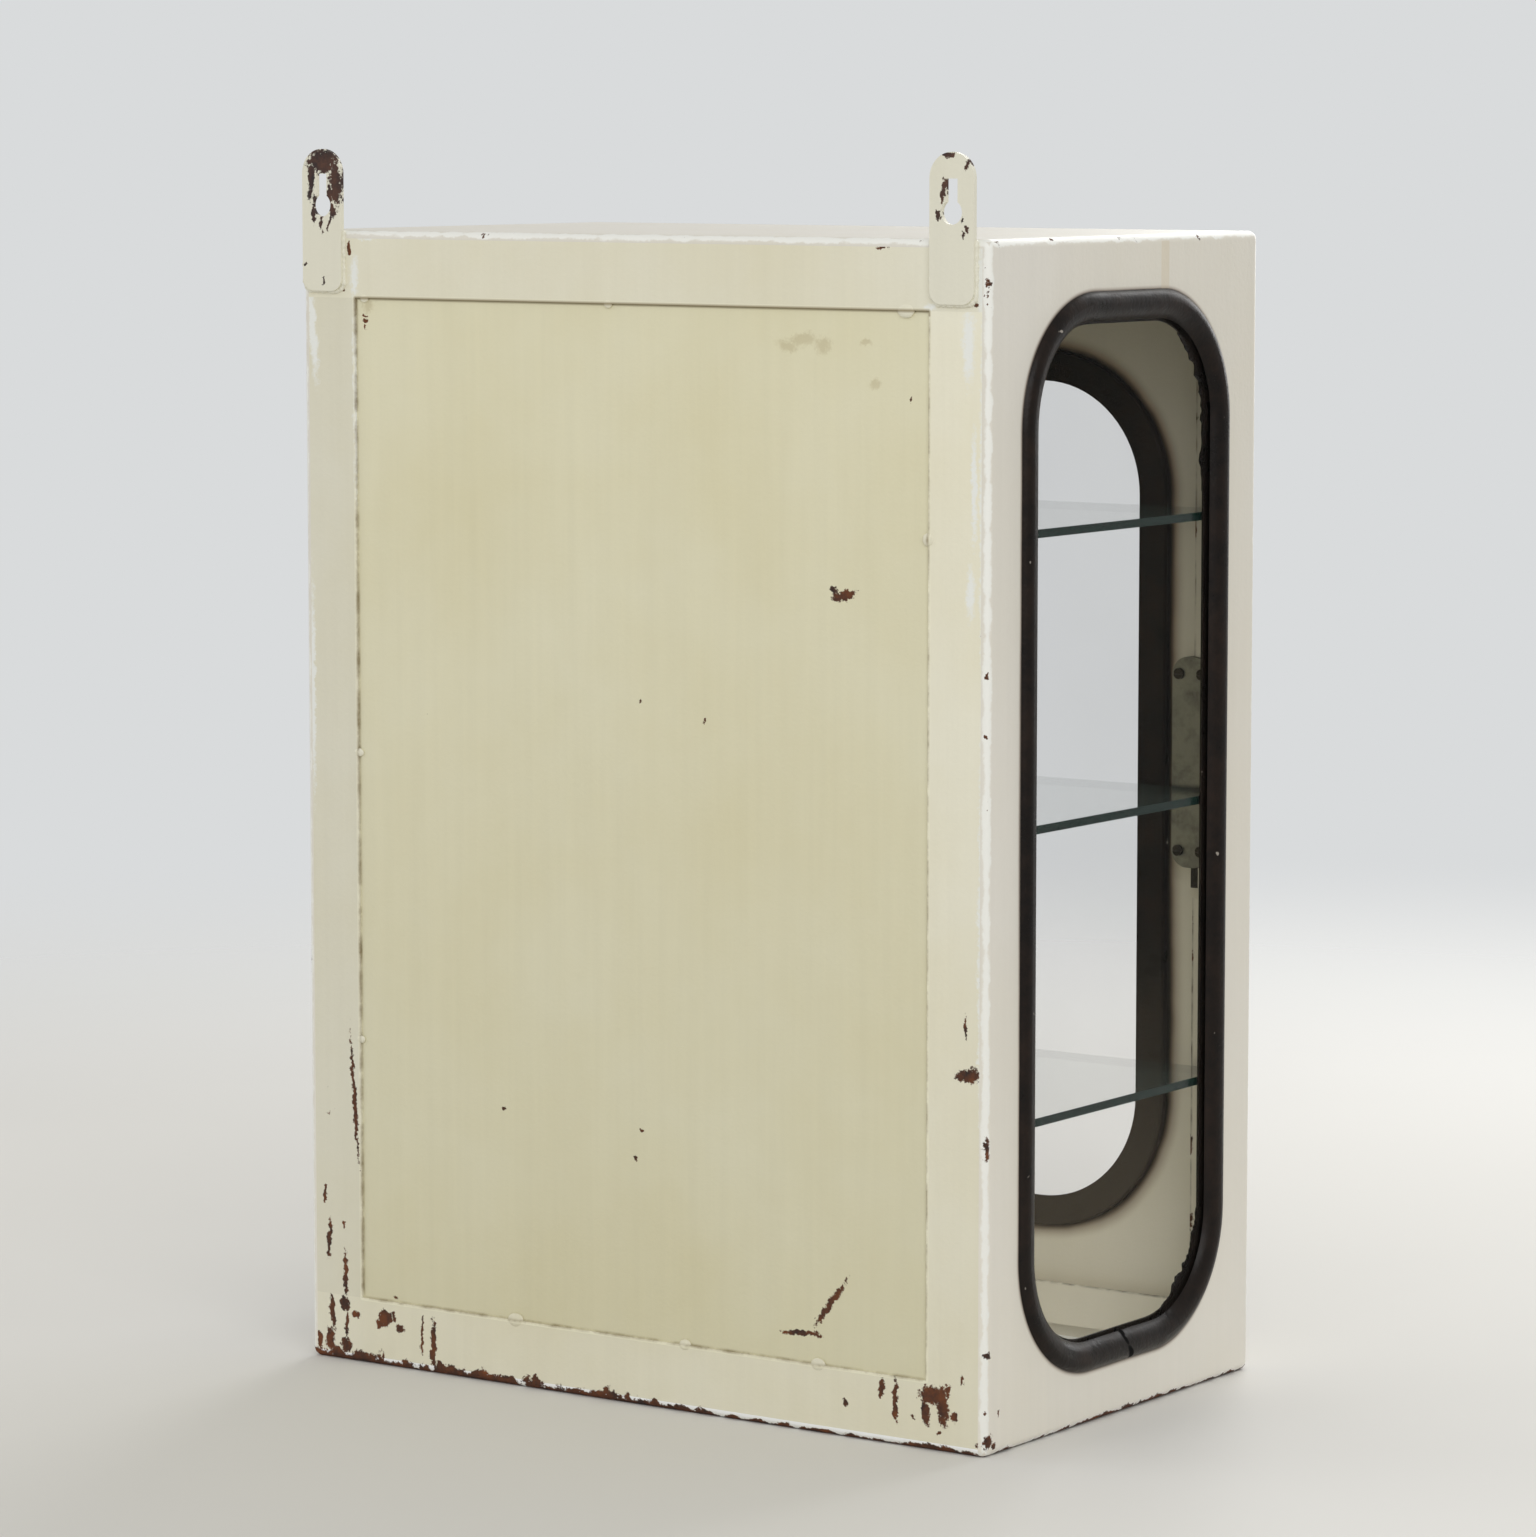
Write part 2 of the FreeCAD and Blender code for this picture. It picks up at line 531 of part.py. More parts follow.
def screw(x, z, seat_y, inward):
    """A slotted cheese-head screw on a seat, its shank pointing inward along Y (1 or -1)."""
    head_y = sorted((seat_y, seat_y - inward * SCREW_HEAD_HEIGHT))
    shank_y = sorted((seat_y, seat_y + inward * SCREW_SHANK_LENGTH))
    top_y = seat_y - inward * SCREW_HEAD_HEIGHT
    slot_y = sorted((top_y - inward * BEYOND, top_y + inward * SCREW_SLOT_DEPTH))
    slot_x = (x - SCREW_HEAD_RADIUS - BEYOND, x + SCREW_HEAD_RADIUS + BEYOND)
    slot_z = (z - SCREW_SLOT_WIDTH / 2, z + SCREW_SLOT_WIDTH / 2)
    body = rod(SCREW_HEAD_RADIUS, x, head_y, z).fuse(rod(SCREW_SHANK_RADIUS, x, shank_y, z))
    return body.cut(block(slot_x, slot_y, slot_z)).removeSplitter().Solids[0]


def build_lock_case():
    """The lock's tray, its cover and the four cover screws."""
    tray = lock_outline(0, (DOOR_SKIN_Y, DOOR_BACK_Y))
    tray = tray.cut(lock_outline(-LOCK_WALL, (LOCK_FLOOR_Y, DOOR_BACK_Y + BEYOND)))
    cover = lock_outline(0, (DOOR_BACK_Y, COVER_Y))
    floor_y = (DOOR_SKIN_Y - BEYOND, LOCK_FLOOR_Y + BEYOND)
    bored = SCREW_SHANK_RADIUS + SCREW_CLEARANCE
    screws = []
    for x, z in lock_screw_places():
        tray = tray.fuse(rod(LOCK_BOSS_RADIUS, x, (LOCK_FLOOR_Y, DOOR_BACK_Y), z))
        hole = rod(bored, x, (COVER_Y - SCREW_SHANK_LENGTH - BEYOND, COVER_Y + BEYOND), z)
        tray = tray.cut(hole)
        cover = cover.cut(hole)
        screws.append(screw(x, z, COVER_Y, -1))
    tray = tray.cut(rod(SPINDLE_RADIUS + BEARING_PLAY, LOCK_X, floor_y, HANDLE_Z))
    tray = tray.cut(rod(KEY_HOUSING_RADIUS + SCREW_CLEARANCE, LOCK_X, floor_y, KEY_Z))
    tray = tray.cut(bolt_slot((LOCK_LEFT_X - BEYOND, LOCK_LEFT_X + LOCK_WALL + BEYOND)))
    bar_x = (BAR_X - BAR_WIDTH / 2 - LOCK_PLAY, BAR_X + BAR_WIDTH / 2 + LOCK_PLAY)
    bar_z = (LOCK_BOTTOM_Z - BEYOND, LOCK_BOTTOM_Z + LOCK_CORNER)
    tray = tray.cut(block(bar_x, (BAR_FRONT_Y - LOCK_PLAY, DOOR_BACK_Y + BEYOND), bar_z))
    for z in escutcheon_screw_heights():
        tray = tray.cut(rod(bored, LOCK_X, floor_y, z))
    save("lock_case", tray.Solids[0])
    save("lock_cover", cover.Solids[0])
    save("lock_cover_screws", *screws)


def build_bolt():
    """The sliding bolt with its slot for the cam pin and its notches, and the plate that keeps it."""
    x = (-DOOR_X + LOCK_PLAY, LOCK_RIGHT_X - LOCK_WALL - BOLT_TAIL_GAP)
    y = (BOLT_FRONT_Y, BOLT_BACK_Y)
    cut_y = (BOLT_FRONT_Y - BEYOND, BOLT_BACK_Y + BEYOND)
    bolt = block(x, y, (BOLT_BOTTOM_Z, BOLT_TOP_Z))
    pin = BOLT_CAM_PIN_RADIUS + CAM_PIN_PLAY
    slot_x = LOCK_X + BOLT_THROW / 2
    slot_z = (HANDLE_Z + BOLT_THROW / 2 - pin, HANDLE_Z + BOLT_CAM_RADIUS + pin)
    bolt = bolt.cut(block((slot_x - pin, slot_x + pin), cut_y, slot_z))
    half = BAR_WIDTH / 2 + BAR_NOTCH_PLAY
    notch_z = (BOLT_TOP_Z + BAR_TOOTH_GAP - BAR_DROP - BAR_NOTCH_PLAY, BOLT_TOP_Z + BEYOND)
    bolt = bolt.cut(block((BAR_X - half, BAR_X + half), cut_y, notch_z))
    bolt = bolt.cut(block((BAR_X + BOLT_THROW - half, x[1] + BEYOND), cut_y, notch_z))
    save("lock_bolt", bolt.Solids[0])

    strike_x = (-FLAT_X, -FRONT_FRAME_X)
    strike_y = (FRONT_Y + CASE_SHEET, BOLT_FRONT_Y - STRIKE_CLEARANCE)
    strike_z = (BOLT_BOTTOM_Z - STRIKE_MARGIN, BOLT_TOP_Z + STRIKE_MARGIN)
    save("strike_plate", block(strike_x, strike_y, strike_z))


def build_handle():
    """The lever that hangs below its hub, its spindle, and the cam whose pin throws the bolt."""
    hub_front = FRONT_Y - ESCUTCHEON_THICKNESS - LOCK_PLAY - HANDLE_HUB_LENGTH
    arm_y = (hub_front - LEVER_THICKNESS, hub_front)
    arm_z = HANDLE_Z - LEVER_LENGTH
    lean = math.asin((HANDLE_HUB_RADIUS - LEVER_END_RADIUS) / LEVER_LENGTH)
    side = Vector(math.cos(lean), 0, -math.sin(lean))
    hub = Vector(LOCK_X, arm_y[0], HANDLE_Z)
    end = Vector(LOCK_X, arm_y[0], arm_z)
    hub_right = hub + side * HANDLE_HUB_RADIUS
    end_right = end + side * LEVER_END_RADIUS
    hub_left = Vector(2 * LOCK_X - hub_right.x, hub_right.y, hub_right.z)
    end_left = Vector(2 * LOCK_X - end_right.x, end_right.y, end_right.z)
    outline = Part.Wire([
        Part.makeLine(hub_right, end_right),
        Part.Arc(end_right, end - Vector(0, 0, LEVER_END_RADIUS), end_left).toShape(),
        Part.makeLine(end_left, hub_left),
        Part.Arc(hub_left, hub + Vector(0, 0, HANDLE_HUB_RADIUS), hub_right).toShape(),
    ])
    arm = Part.Face(outline).extrude(Vector(0, LEVER_THICKNESS, 0))
    arm = arm.makeFillet(LEVER_EDGE_RADIUS, [e for e in arm.Edges if e.BoundBox.YLength < BEYOND])
    lever = arm.fuse(rod(HANDLE_HUB_RADIUS - LEVER_EDGE_RADIUS, LOCK_X,
                         (arm_y[1] - LEVER_EDGE_RADIUS, arm_y[1] + HANDLE_HUB_LENGTH), HANDLE_Z))
    save("lever_handle", lever.removeSplitter().Solids[0])
    save("handle_spindle", rod(SPINDLE_RADIUS, LOCK_X, (arm_y[1] + HANDLE_HUB_LENGTH, CAM_FRONT_Y), HANDLE_Z))

    cam_radius = BOLT_CAM_RADIUS + BOLT_CAM_PIN_RADIUS + CAM_RIM
    cam = rod(cam_radius, LOCK_X, (CAM_FRONT_Y, CAM_BACK_Y), HANDLE_Z)
    offset = BOLT_CAM_RADIUS * math.sin(HALF_SWING)
    pin = rod(BOLT_CAM_PIN_RADIUS, LOCK_X + offset, (CAM_FRONT_Y, BOLT_BACK_Y), HANDLE_Z + offset)
    save("bolt_cam", cam.fuse(pin).removeSplitter().Solids[0])


def build_key():
    """The key cylinder, its turning plug and cam, and the bar that the cam drops into the bolt."""
    face_y = FRONT_Y - ESCUTCHEON_THICKNESS
    flange_y = (face_y - KEY_FLANGE_HEIGHT, face_y)
    housing = rod(KEY_FLANGE_RADIUS, LOCK_X, flange_y, KEY_Z)
    housing = housing.fuse(rod(KEY_HOUSING_RADIUS, LOCK_X, (flange_y[0], LOCK_FLOOR_Y), KEY_Z))
    bore_y = (flange_y[0] - BEYOND, LOCK_FLOOR_Y + BEYOND)
    housing = housing.cut(rod(KEY_PLUG_RADIUS + BEARING_PLAY, LOCK_X, bore_y, KEY_Z))
    save("key_cylinder", housing.removeSplitter().Solids[0])

    plug = rod(KEY_PLUG_RADIUS, LOCK_X, (flange_y[0], CAM_FRONT_Y), KEY_Z)
    slot_x = (LOCK_X - KEY_SLOT_WIDTH / 2, LOCK_X + KEY_SLOT_WIDTH / 2)
    slot_z = (KEY_Z - KEY_PLUG_RADIUS * 0.7, KEY_Z + KEY_PLUG_RADIUS * 0.7)
    plug = plug.cut(block(slot_x, (flange_y[0] - BEYOND, flange_y[0] + KEY_SLOT_DEPTH), slot_z))
    save("key_plug", plug.Solids[0])

    offset = KEY_CAM_RADIUS * math.sin(HALF_SWING)
    cam_radius = KEY_CAM_RADIUS + KEY_CAM_PIN_RADIUS + CAM_RIM
    cam = rod(cam_radius, LOCK_X, (CAM_FRONT_Y, CAM_BACK_Y), KEY_Z)
    pin = rod(KEY_CAM_PIN_RADIUS, LOCK_X - offset, (CAM_FRONT_Y, BAR_BACK_Y), KEY_Z + offset)
    save("key_cam", cam.fuse(pin).removeSplitter().Solids[0])

    bar_y = (BAR_FRONT_Y, BAR_BACK_Y)
    bar_x = (BAR_X - BAR_WIDTH / 2, BAR_X + BAR_WIDTH / 2)
    pin_z = KEY_Z + offset
    head_x = LOCK_X - (offset + KEY_CAM_RADIUS) / 2
    head_z = (pin_z - BAR_HEAD_HEIGHT / 2, pin_z + BAR_HEAD_HEIGHT / 2)
    bar = block(bar_x, bar_y, (BAR_BOTTOM_Z, head_z[1]))
    bar = bar.fuse(block((head_x - BAR_HEAD_WIDTH / 2, head_x + BAR_HEAD_WIDTH / 2), bar_y, head_z))
    tooth_z = BOLT_TOP_Z + BAR_TOOTH_GAP
    bar = bar.fuse(block(bar_x, (BOLT_FRONT_Y, BAR_BACK_Y), (tooth_z, tooth_z + BAR_TOOTH_HEIGHT)))
    play = KEY_CAM_PIN_RADIUS + CAM_PIN_PLAY
    slot_x = (LOCK_X - KEY_CAM_RADIUS - play, LOCK_X - offset + play)
    bar = bar.cut(block(slot_x, (BAR_FRONT_Y - BEYOND, BAR_BACK_Y + BEYOND), (pin_z - play, pin_z + play)))
    save("dead_bar", bar.removeSplitter().Solids[0])


def build_escutcheon():
    """The plate on the door's face under the handle and the key, with its two screws."""
    back = FRONT_Y
    front = FRONT_Y - ESCUTCHEON_THICKNESS
    half = ESCUTCHEON_WIDTH / 2
    plate = rounded_plate(ESCUTCHEON_WIDTH, ESCUTCHEON_HEIGHT, half - BEYOND, 0, ESCUTCHEON_THICKNESS)
    rim = [e for e in plate.Edges if e.BoundBox.ZMin > ESCUTCHEON_THICKNESS / 2]
    plate = plate.makeFillet(ESCUTCHEON_EDGE_RADIUS, rim)
    plate = facing(plate, Vector(0, -1, 0), Vector(LOCK_X, back, LOCK_Z))
    through_y = (front - BEYOND, back + BEYOND)
    plate = plate.cut(rod(SPINDLE_RADIUS + LOCK_PLAY, LOCK_X, through_y, HANDLE_Z))
    plate = plate.cut(rod(KEY_HOUSING_RADIUS + SCREW_CLEARANCE, LOCK_X, through_y, KEY_Z))
    screws = []
    for z in escutcheon_screw_heights():
        plate = plate.cut(rod(SCREW_SHANK_RADIUS + SCREW_CLEARANCE, LOCK_X, through_y, z))
        screws.append(screw(LOCK_X, z, front, 1))
    save("handle_escutcheon", plate.Solids[0])
    save("escutcheon_screws", *screws)


build_case()
build_hanger_lugs()
build_side_windows()
build_shelves()
build_door_stops()
build_hinges()
build_door()
build_lock_case()
build_bolt()
build_handle()
build_key()
build_escutcheon()
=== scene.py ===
import math
import random
from collections import namedtuple

import bpy
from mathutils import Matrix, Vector


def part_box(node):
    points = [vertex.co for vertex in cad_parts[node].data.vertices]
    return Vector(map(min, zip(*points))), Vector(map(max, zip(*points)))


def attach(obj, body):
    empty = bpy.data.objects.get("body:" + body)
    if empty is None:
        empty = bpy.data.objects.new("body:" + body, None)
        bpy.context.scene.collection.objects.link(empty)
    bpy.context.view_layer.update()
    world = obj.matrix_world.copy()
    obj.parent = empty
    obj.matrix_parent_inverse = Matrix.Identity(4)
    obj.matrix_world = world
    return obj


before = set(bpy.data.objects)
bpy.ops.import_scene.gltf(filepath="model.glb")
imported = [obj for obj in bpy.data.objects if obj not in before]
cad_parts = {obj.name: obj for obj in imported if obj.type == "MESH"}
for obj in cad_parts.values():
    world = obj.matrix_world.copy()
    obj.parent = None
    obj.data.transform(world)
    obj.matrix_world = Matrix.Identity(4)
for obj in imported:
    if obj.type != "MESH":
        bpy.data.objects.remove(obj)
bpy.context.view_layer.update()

bl_info = {
    "name": "Medicine cabinet finish",
    "version": (1, 0, 0),
    "blender": (4, 5, 0),
    "location": "View3D > Sidebar > Cabinet",
    "description": "Old enamel, rubber, glass and metal for a wall-hung medicine cabinet",
    "category": "Object",
}

MM = 0.001

# Where the CAD has the case and its windows
CASE_HALF_WIDTH, CASE_HALF_DEPTH, CASE_HEIGHT = 250 * MM, 150 * MM, 700 * MM
WINDOW_MIDDLE_Z = 350 * MM
DOOR_FOLD_Y = -141 * MM
LEFT_FACE_X = -249.5 * MM
# Above this height the seam line under the back's top rail is unbroken, painted shadow as well as dirt
RAIL_SHADOW_Z = 656 * MM
# How far below the outer faces wear reaches: one sheet, the sunk back panel, or any depth
SHEET_SKIN, PANEL_SKIN, ANY_DEPTH = 1.49 * MM, 2.2 * MM, 1.0
EDGE_WEAR_AND_HIGHLIGHT_WIDTH = 7 * MM
CHIP_DEPTH, CHIP_RAGGEDNESS = 8 * MM, 9 * MM
# Painted light and shade on the enamel change from the underside up to this height
SHADED_HEIGHT = 600 * MM
# The tape mark above the left side's window
TAPE_Y, TAPE_HALF_WIDTH = -41 * MM, 4.5 * MM
TAPE_Z, TAPE_HALF_HEIGHT = 682 * MM, 14 * MM
# Painted light: the floor inside is painted a cooler, brighter white than the sides, for the light that falls on it
NO_YELLOWING = (1, 1, 1)
FLOOR_LIGHT_TINT = (1.0, 1.05, 1.15)
# Heights between which the painted light on the rubber fades out
PAINTED_LIGHT_LOW, PAINTED_LIGHT_HIGH = 100 * MM, 290 * MM

# A brown bleed round a window: the axis across it, the window's size, and the Y behind which it shows
Halo = namedtuple("Halo", "across width height radius bleed strength nearest_y")
# A line of dirt and painted shade along a rectangular seam, behind the same kind of Y
Seam = namedtuple("Seam", "width height strength dirt nearest_y")

SIDE_NODES = ("side_panel_left", "side_panel_right", "top_panel", "front_stile_left", "front_stile_right",
              "front_rail_top", "front_rail_bottom", "door_stop_side", "door_stop_top",
              "shelf_brackets_left", "shelf_brackets_right", "upper_hinge_case_knuckle",
              "lower_hinge_case_knuckle")
DOOR_NODES = ("door_panel", "upper_hinge_door_knuckle", "lower_hinge_door_knuckle")
SIDE_GASKET_NODES = ("side_gasket_left", "side_gasket_right")
WINDOW_NODES = ("side_glass_left", "side_glass_right", "door_glass")
SHELF_NODES = ("shelf_lower", "shelf_middle", "shelf_upper")
STEEL_NODES = ("lock_case", "lock_cover", "handle_spindle", "bolt_cam", "lock_bolt", "key_cam", "upper_hinge_pin",
               "lower_hinge_pin", "strike_plate")
DARK_NODES = ("lock_cover_screws", "dead_bar")
LUG_NODES = ("hanger_lug_left", "hanger_lug_right")
CHROME_NODES = ("lever_handle", "handle_escutcheon", "escutcheon_screws", "key_cylinder")
BRASS_NODES = ("key_plug", "upper_hinge_washer", "lower_hinge_washer")

# Chips on each part of the back: middle X and Z, half width, half height in mm, and lean in degrees
LUG_CHIPS = (
    (231, 742, 12, 8, 0), (221, 728, 5, 14, 4), (240, 731, 2.6, 13, -4), (226, 722, 2.4, 6, 0), (224, 712, 3, 5, 20),
    (232, 706, 1.5, 8, 0), (226, 705, 1.2, 6, -18), (238, 712, 1.5, 9, 0), (245, 679, 1.2, 1.2, 0),
    (231, 669, 1, 3, 0), (-223, 747.5, 6, 1.8, 0), (-237, 742, 1.4, 5, -30), (-220.5, 727, 1.4, 8, -6),
    (-217, 713, 2.2, 3, 0), (-233.5, 711, 1, 2, 0), (-236, 706, 1.2, 3, 0), (-233.5, 702, 1, 3, 0),
)
LEFT_STILE_CHIPS = (
    (-237, 222, 9, 4, 10), (-247, 223, 2, 3, 0), (-248, 476, 2, 4, 0), (-248, 272, 1.6, 7, 0), (-249, 178, 2, 16, 0),
    (-249, 150, 2, 6, 0), (-236, 250, 1, 7, 0), (-234, 44, 1, 3, 0),
)
RIGHT_STILE_CHIPS = (
    (214, 165, 1.4, 38, 4), (238, 103, 1.4, 6, -6), (235, 76, 1.7, 12, -6), (224, 85, 0.9, 2.4, 0),
    (222, 54, 1.7, 15, 3), (248, 299, 2, 8, 0),
)
TOP_RAIL_CHIPS = (
    (-181, 698, 1.6, 3, 0), (-176, 695, 3, 1.4, 20), (120, 699, 5, 1, 0), (-242, 697, 3, 1.2, 0),
    (-240, 677, 1.4, 3, 0), (-241, 663, 1.2, 2, 0), (215, 697, 2, 1.6, 0), (214, 690, 1.2, 2.6, 0),
    (213, 687, 1.5, 2, 0), (218, 664, 1.6, 2, 0),
)
LOW_RAIL_CHIPS = (
    (-213, 33, 8.5, 5.5, 0), (-209, 22, 3, 8, 4), (-221, 27, 4, 12, 4), (-224, 37, 1.6, 4, -14), (-229, 22, 3, 3, 0),
    (-218, 11, 1.2, 1.2, 0), (-246, 7, 2, 3, -12), (-237, 2, 2.4, 2.6, 0), (-153, 21, 2, 2.2, 0),
    (-178, 33, 2, 6, -14), (-188, 27, 1.8, 13, 2), (-201, 19, 1.2, 1.2, 0), (-200, 2, 4.4, 2.4, 0),
    (223, 36, 3.6, 5, 0), (233, 30, 2.2, 11, 6), (235, 12, 3.4, 7, 0), (243, 11, 2, 6, 14), (221, 23, 1.4, 8, 0),
    (222, 10, 4.4, 5, 0), (214, 30, 3, 2, 0), (247, 4, 2.4, 3.4, 0), (191, 30, 5.6, 4.4, 8), (195, 26, 3, 3, 0),
    (184, 31, 1.4, 3.4, 0), (179, 25, 3.4, 3.2, 20), (162, 23, 1, 12, 0), (153.6, 18, 2.2, 17, 0),
)
PANEL_CHIPS = (
    (-196, 608, 1.2, 1.6, 0), (-150, 494, 8, 3, 14), (-143, 497, 3, 2, 0), (-4, 167, 1.6, 1.6, 0),
    (0, 150, 1.2, 1.4, 0), (99, 170, 1.2, 1.2, 0), (-52, 415, 1.2, 1.2, 0), (-5, 425, 1, 1, 0),
    (-141, 78, 2.2, 18, -38), (-121, 58, 14, 1.8, 3), (184, 43, 1.6, 1, 0), (202, 648, 2.4, 0.8, 0),
    (202, 645, 1.8, 1, 20), (203, 642, 1.3, 1.4, 0),
)
# Chips on the side windows' frame: the same, with Y in place of X
SIDE_CHIPS = (
    (-79, 697, 1.4, 1.4, 0), (147, 60, 1.6, 2, 0), (146, 9, 3, 4, 20), (141, 6, 2, 2, 0), (136, 24, 0.8, 1.4, 0),
    (148, 180, 1.6, 6, 0),
)
# White touched-up spots on the back frame, written as the chips are; the long thin strips along the frame's outer
# edges and the top rail's top edge are painted highlight on the rounded bends as well as pale paint
LEFT_STILE_WHITE = ((-238, 500, 3, 14, 0), (-240, 560, 2, 30, 0), (-236, 640, 4, 20, 0), (-247, 300, 3, 120, 0),
                    (-247, 560, 3, 100, 0))
RIGHT_STILE_WHITE = ((209, 600, 2, 60, 0), (242, 640, 3, 30, 4), (228, 20, 3, 4, 0), (244, 420, 2, 60, 0))
TOP_RAIL_WHITE = ((-246, 678, 5, 24, 0), (-209, 661, 4, 2, 0), (199, 697, 9, 3, 0), (150, 698, 30, 2, 0),
                  (20, 699, 70, 1.6, 0), (-120, 699, 60, 1.6, 0), (209, 672, 3, 12, 0))
# Brown scuffs on the back panel
PANEL_SCUFFS = ((-121, 641, 9, 4, 10), (-135, 638, 6, 5, 0), (-110, 637, 7, 3, -15), (-171, 617, 4, 3, 20),
                (-165, 640, 4, 2, 0), (200, 654, 4, 4, 0))
# Chips on the inside of the door, along its folded edge
DOOR_CHIPS = ((-213, 520, 2, 8, 0), (-213, 585, 1.6, 4, 0), (-212, 284, 2, 9, 12), (-213, 255, 1.6, 5, 0),
              (-213, 235, 1.6, 4, 0), (-213, 200, 1.6, 4, 0), (-211, 163, 2, 4, 0), (-213, 138, 2.4, 8, 0),
              (-211, 92, 5, 8, 20), (-213, 620, 1.4, 6, 0))
# The crack where the ends of the side gasket meet, Y and Z
GASKET_JOINT = ((-0.6, 49, 2.2, 2.6, 10), (-0.4, 44.5, 1.7, 4, -24), (-5, 36.5, 2.2, 7, -42))
# Tack welds that hold the back panel in its frame, X and Z in mm
TACKS = ((202, 659), (18, 659), (-193, 659), (209, 381), (209, 203), (90, 41), (-37, 41), (-133, 41), (-209, 529))
TACK_Y = 149.2 * MM
# Weld beads round the lugs' feet
LUG_WELD_Y, LUG_WELD_TOP, LUG_WELD_STEP, LUG_CORNER = 150.2 * MM, 698 * MM, 2 * MM, 6 * MM
# The torn lip's line on the left side: straight along Y, and round corners about a Y and two heights
LIP_X, LIP_Y, LIP_RADIUS, LIP_TURN_Y = -244.2 * MM, -96 * MM, 59 * MM, -37 * MM
LIP_LOW_TURN_Z, LIP_HIGH_TURN_Z = 110 * MM, 590 * MM
LIP_THICKNESS = 1.0 * MM
# Lights: name, place, width in metres and watts
LIGHTS = (("key_light", (-2.6, 2.3, 2.0), 2.2, 40.0), ("back_light", (0.4, 3.4, 2.6), 2.4, 11.0),
          ("far_side_light", (3.0, 1.4, 1.8), 2.0, 15.0), ("front_light", (0.2, -2.8, 1.6), 2.4, 60.0))
LIGHT_TARGET = Vector((0, 0, 0.36))
FLOOR_SIZE, FLOOR_FADE = 12.0, (0.7, 2.6)
# The camera that was fitted to the case's edges
SENSOR_WIDTH, FOCAL_LENGTH = 36.0, 137.49
CAMERA_PLACE, CAMERA_AIM = (-2.0454, 2.9383, 0.7711), Vector((0.569131, -0.814699, -0.111157))


def linear(code):
    """The scene-linear colour of a web colour such as "DCD8B9"."""
    parts = [int(code[i:i + 2], 16) / 255 for i in (0, 2, 4)]
    return [p / 12.92 if p <= 0.04045 else ((p + 0.055) / 1.055) ** 2.4 for p in parts]


def opaque(colour):
    """A colour property as a node socket's four values."""
    return (colour[0], colour[1], colour[2], 1.0)


class CabinetLooks(bpy.types.PropertyGroup):
    """Colours and sizes that a user may change."""
    panel_paint: bpy.props.FloatVectorProperty(
        name="Back panel paint", description="Yellowish enamel on the sheet that closes the back", subtype="COLOR",
        default=linear("E7E3C8"), min=0, max=1)
    frame_paint: bpy.props.FloatVectorProperty(
        name="Back frame paint", description="Cream enamel on the back frame and the hanging lugs", subtype="COLOR",
        default=linear("EBE8D7"), min=0, max=1)
    side_paint: bpy.props.FloatVectorProperty(
        name="Side paint", description="Whiter enamel on the sides, top and front", subtype="COLOR",
        default=linear("E6E2D9"), min=0, max=1)
    door_paint: bpy.props.FloatVectorProperty(
        name="Door paint", description="Enamel on the door", subtype="COLOR", default=linear("DDD8CB"), min=0, max=1)
    yellowing: bpy.props.FloatVectorProperty(
        name="Yellowing", description="What old enamel's red, green and blue fall to in its yellowed patches",
        default=(0.9, 0.86, 0.72), min=0, max=1)
    rubber: bpy.props.FloatVectorProperty(
        name="Rubber", description="Window gaskets", subtype="COLOR", default=linear("0C0A09"), min=0, max=1)
    shelf_edge: bpy.props.FloatVectorProperty(
        name="Shelf edge", description="Green of the cut edges of the shelf glass", subtype="COLOR",
        default=linear("06201A"), min=0, max=1)
    tack_size: bpy.props.FloatProperty(
        name="Tack weld size", description="Radius of a tack weld on the back seam", unit="LENGTH",
        default=3.2 * MM, min=1 * MM, max=6 * MM)


def add(tree, kind, links=None, out=0, **settings):
    """Adds a node with its settings, fills its inputs with values or sockets, and returns its output."""
    node = tree.nodes.new(kind)
    for field, value in settings.items():
        setattr(node, field, value)
    for key, value in (links or {}).items():
        if isinstance(value, bpy.types.NodeSocket):
            tree.links.new(value, node.inputs[key])
        else:
            node.inputs[key].default_value = value
    return node.outputs[out]


def calc(tree, operation, *values):
    """A math node on up to three values or sockets."""
    return add(tree, "ShaderNodeMath", dict(enumerate(values)), operation=operation)


def ramp(tree, value, source=(0.0, 1.0), target=(0.0, 1.0), smooth=False):
    """Carries a value from the source range to the target range, and holds it there."""
    return add(tree, "ShaderNodeMapRange",
               {"Value": value, "From Min": source[0], "From Max": source[1], "To Min": target[0],
                "To Max": target[1]}, interpolation_type="SMOOTHSTEP" if smooth else "LINEAR")


def noise(tree, place, scale, detail, roughness=0.5, out=0):
    """A noise texture, as a value or as a colour."""
    return add(tree, "ShaderNodeTexNoise",
               {"Vector": place, "Scale": scale, "Detail": detail, "Roughness": roughness}, out=out)


def between(tree, share, low, high):
    """Mixes two values, 2 and 3 being a mix node's value inputs."""
    return add(tree, "ShaderNodeMix", {0: share, 2: low, 3: high})


def blend(tree, share, low, high, how="MIX"):
    """Mixes two colours, 6 and 7 being a mix node's colour inputs and 2 its colour output."""
    low, high = (part if isinstance(part, bpy.types.NodeSocket) else opaque(part) for part in (low, high))
    return add(tree, "ShaderNodeMix", {0: share, 6: low, 7: high}, out=2, data_type="RGBA", blend_type=how)


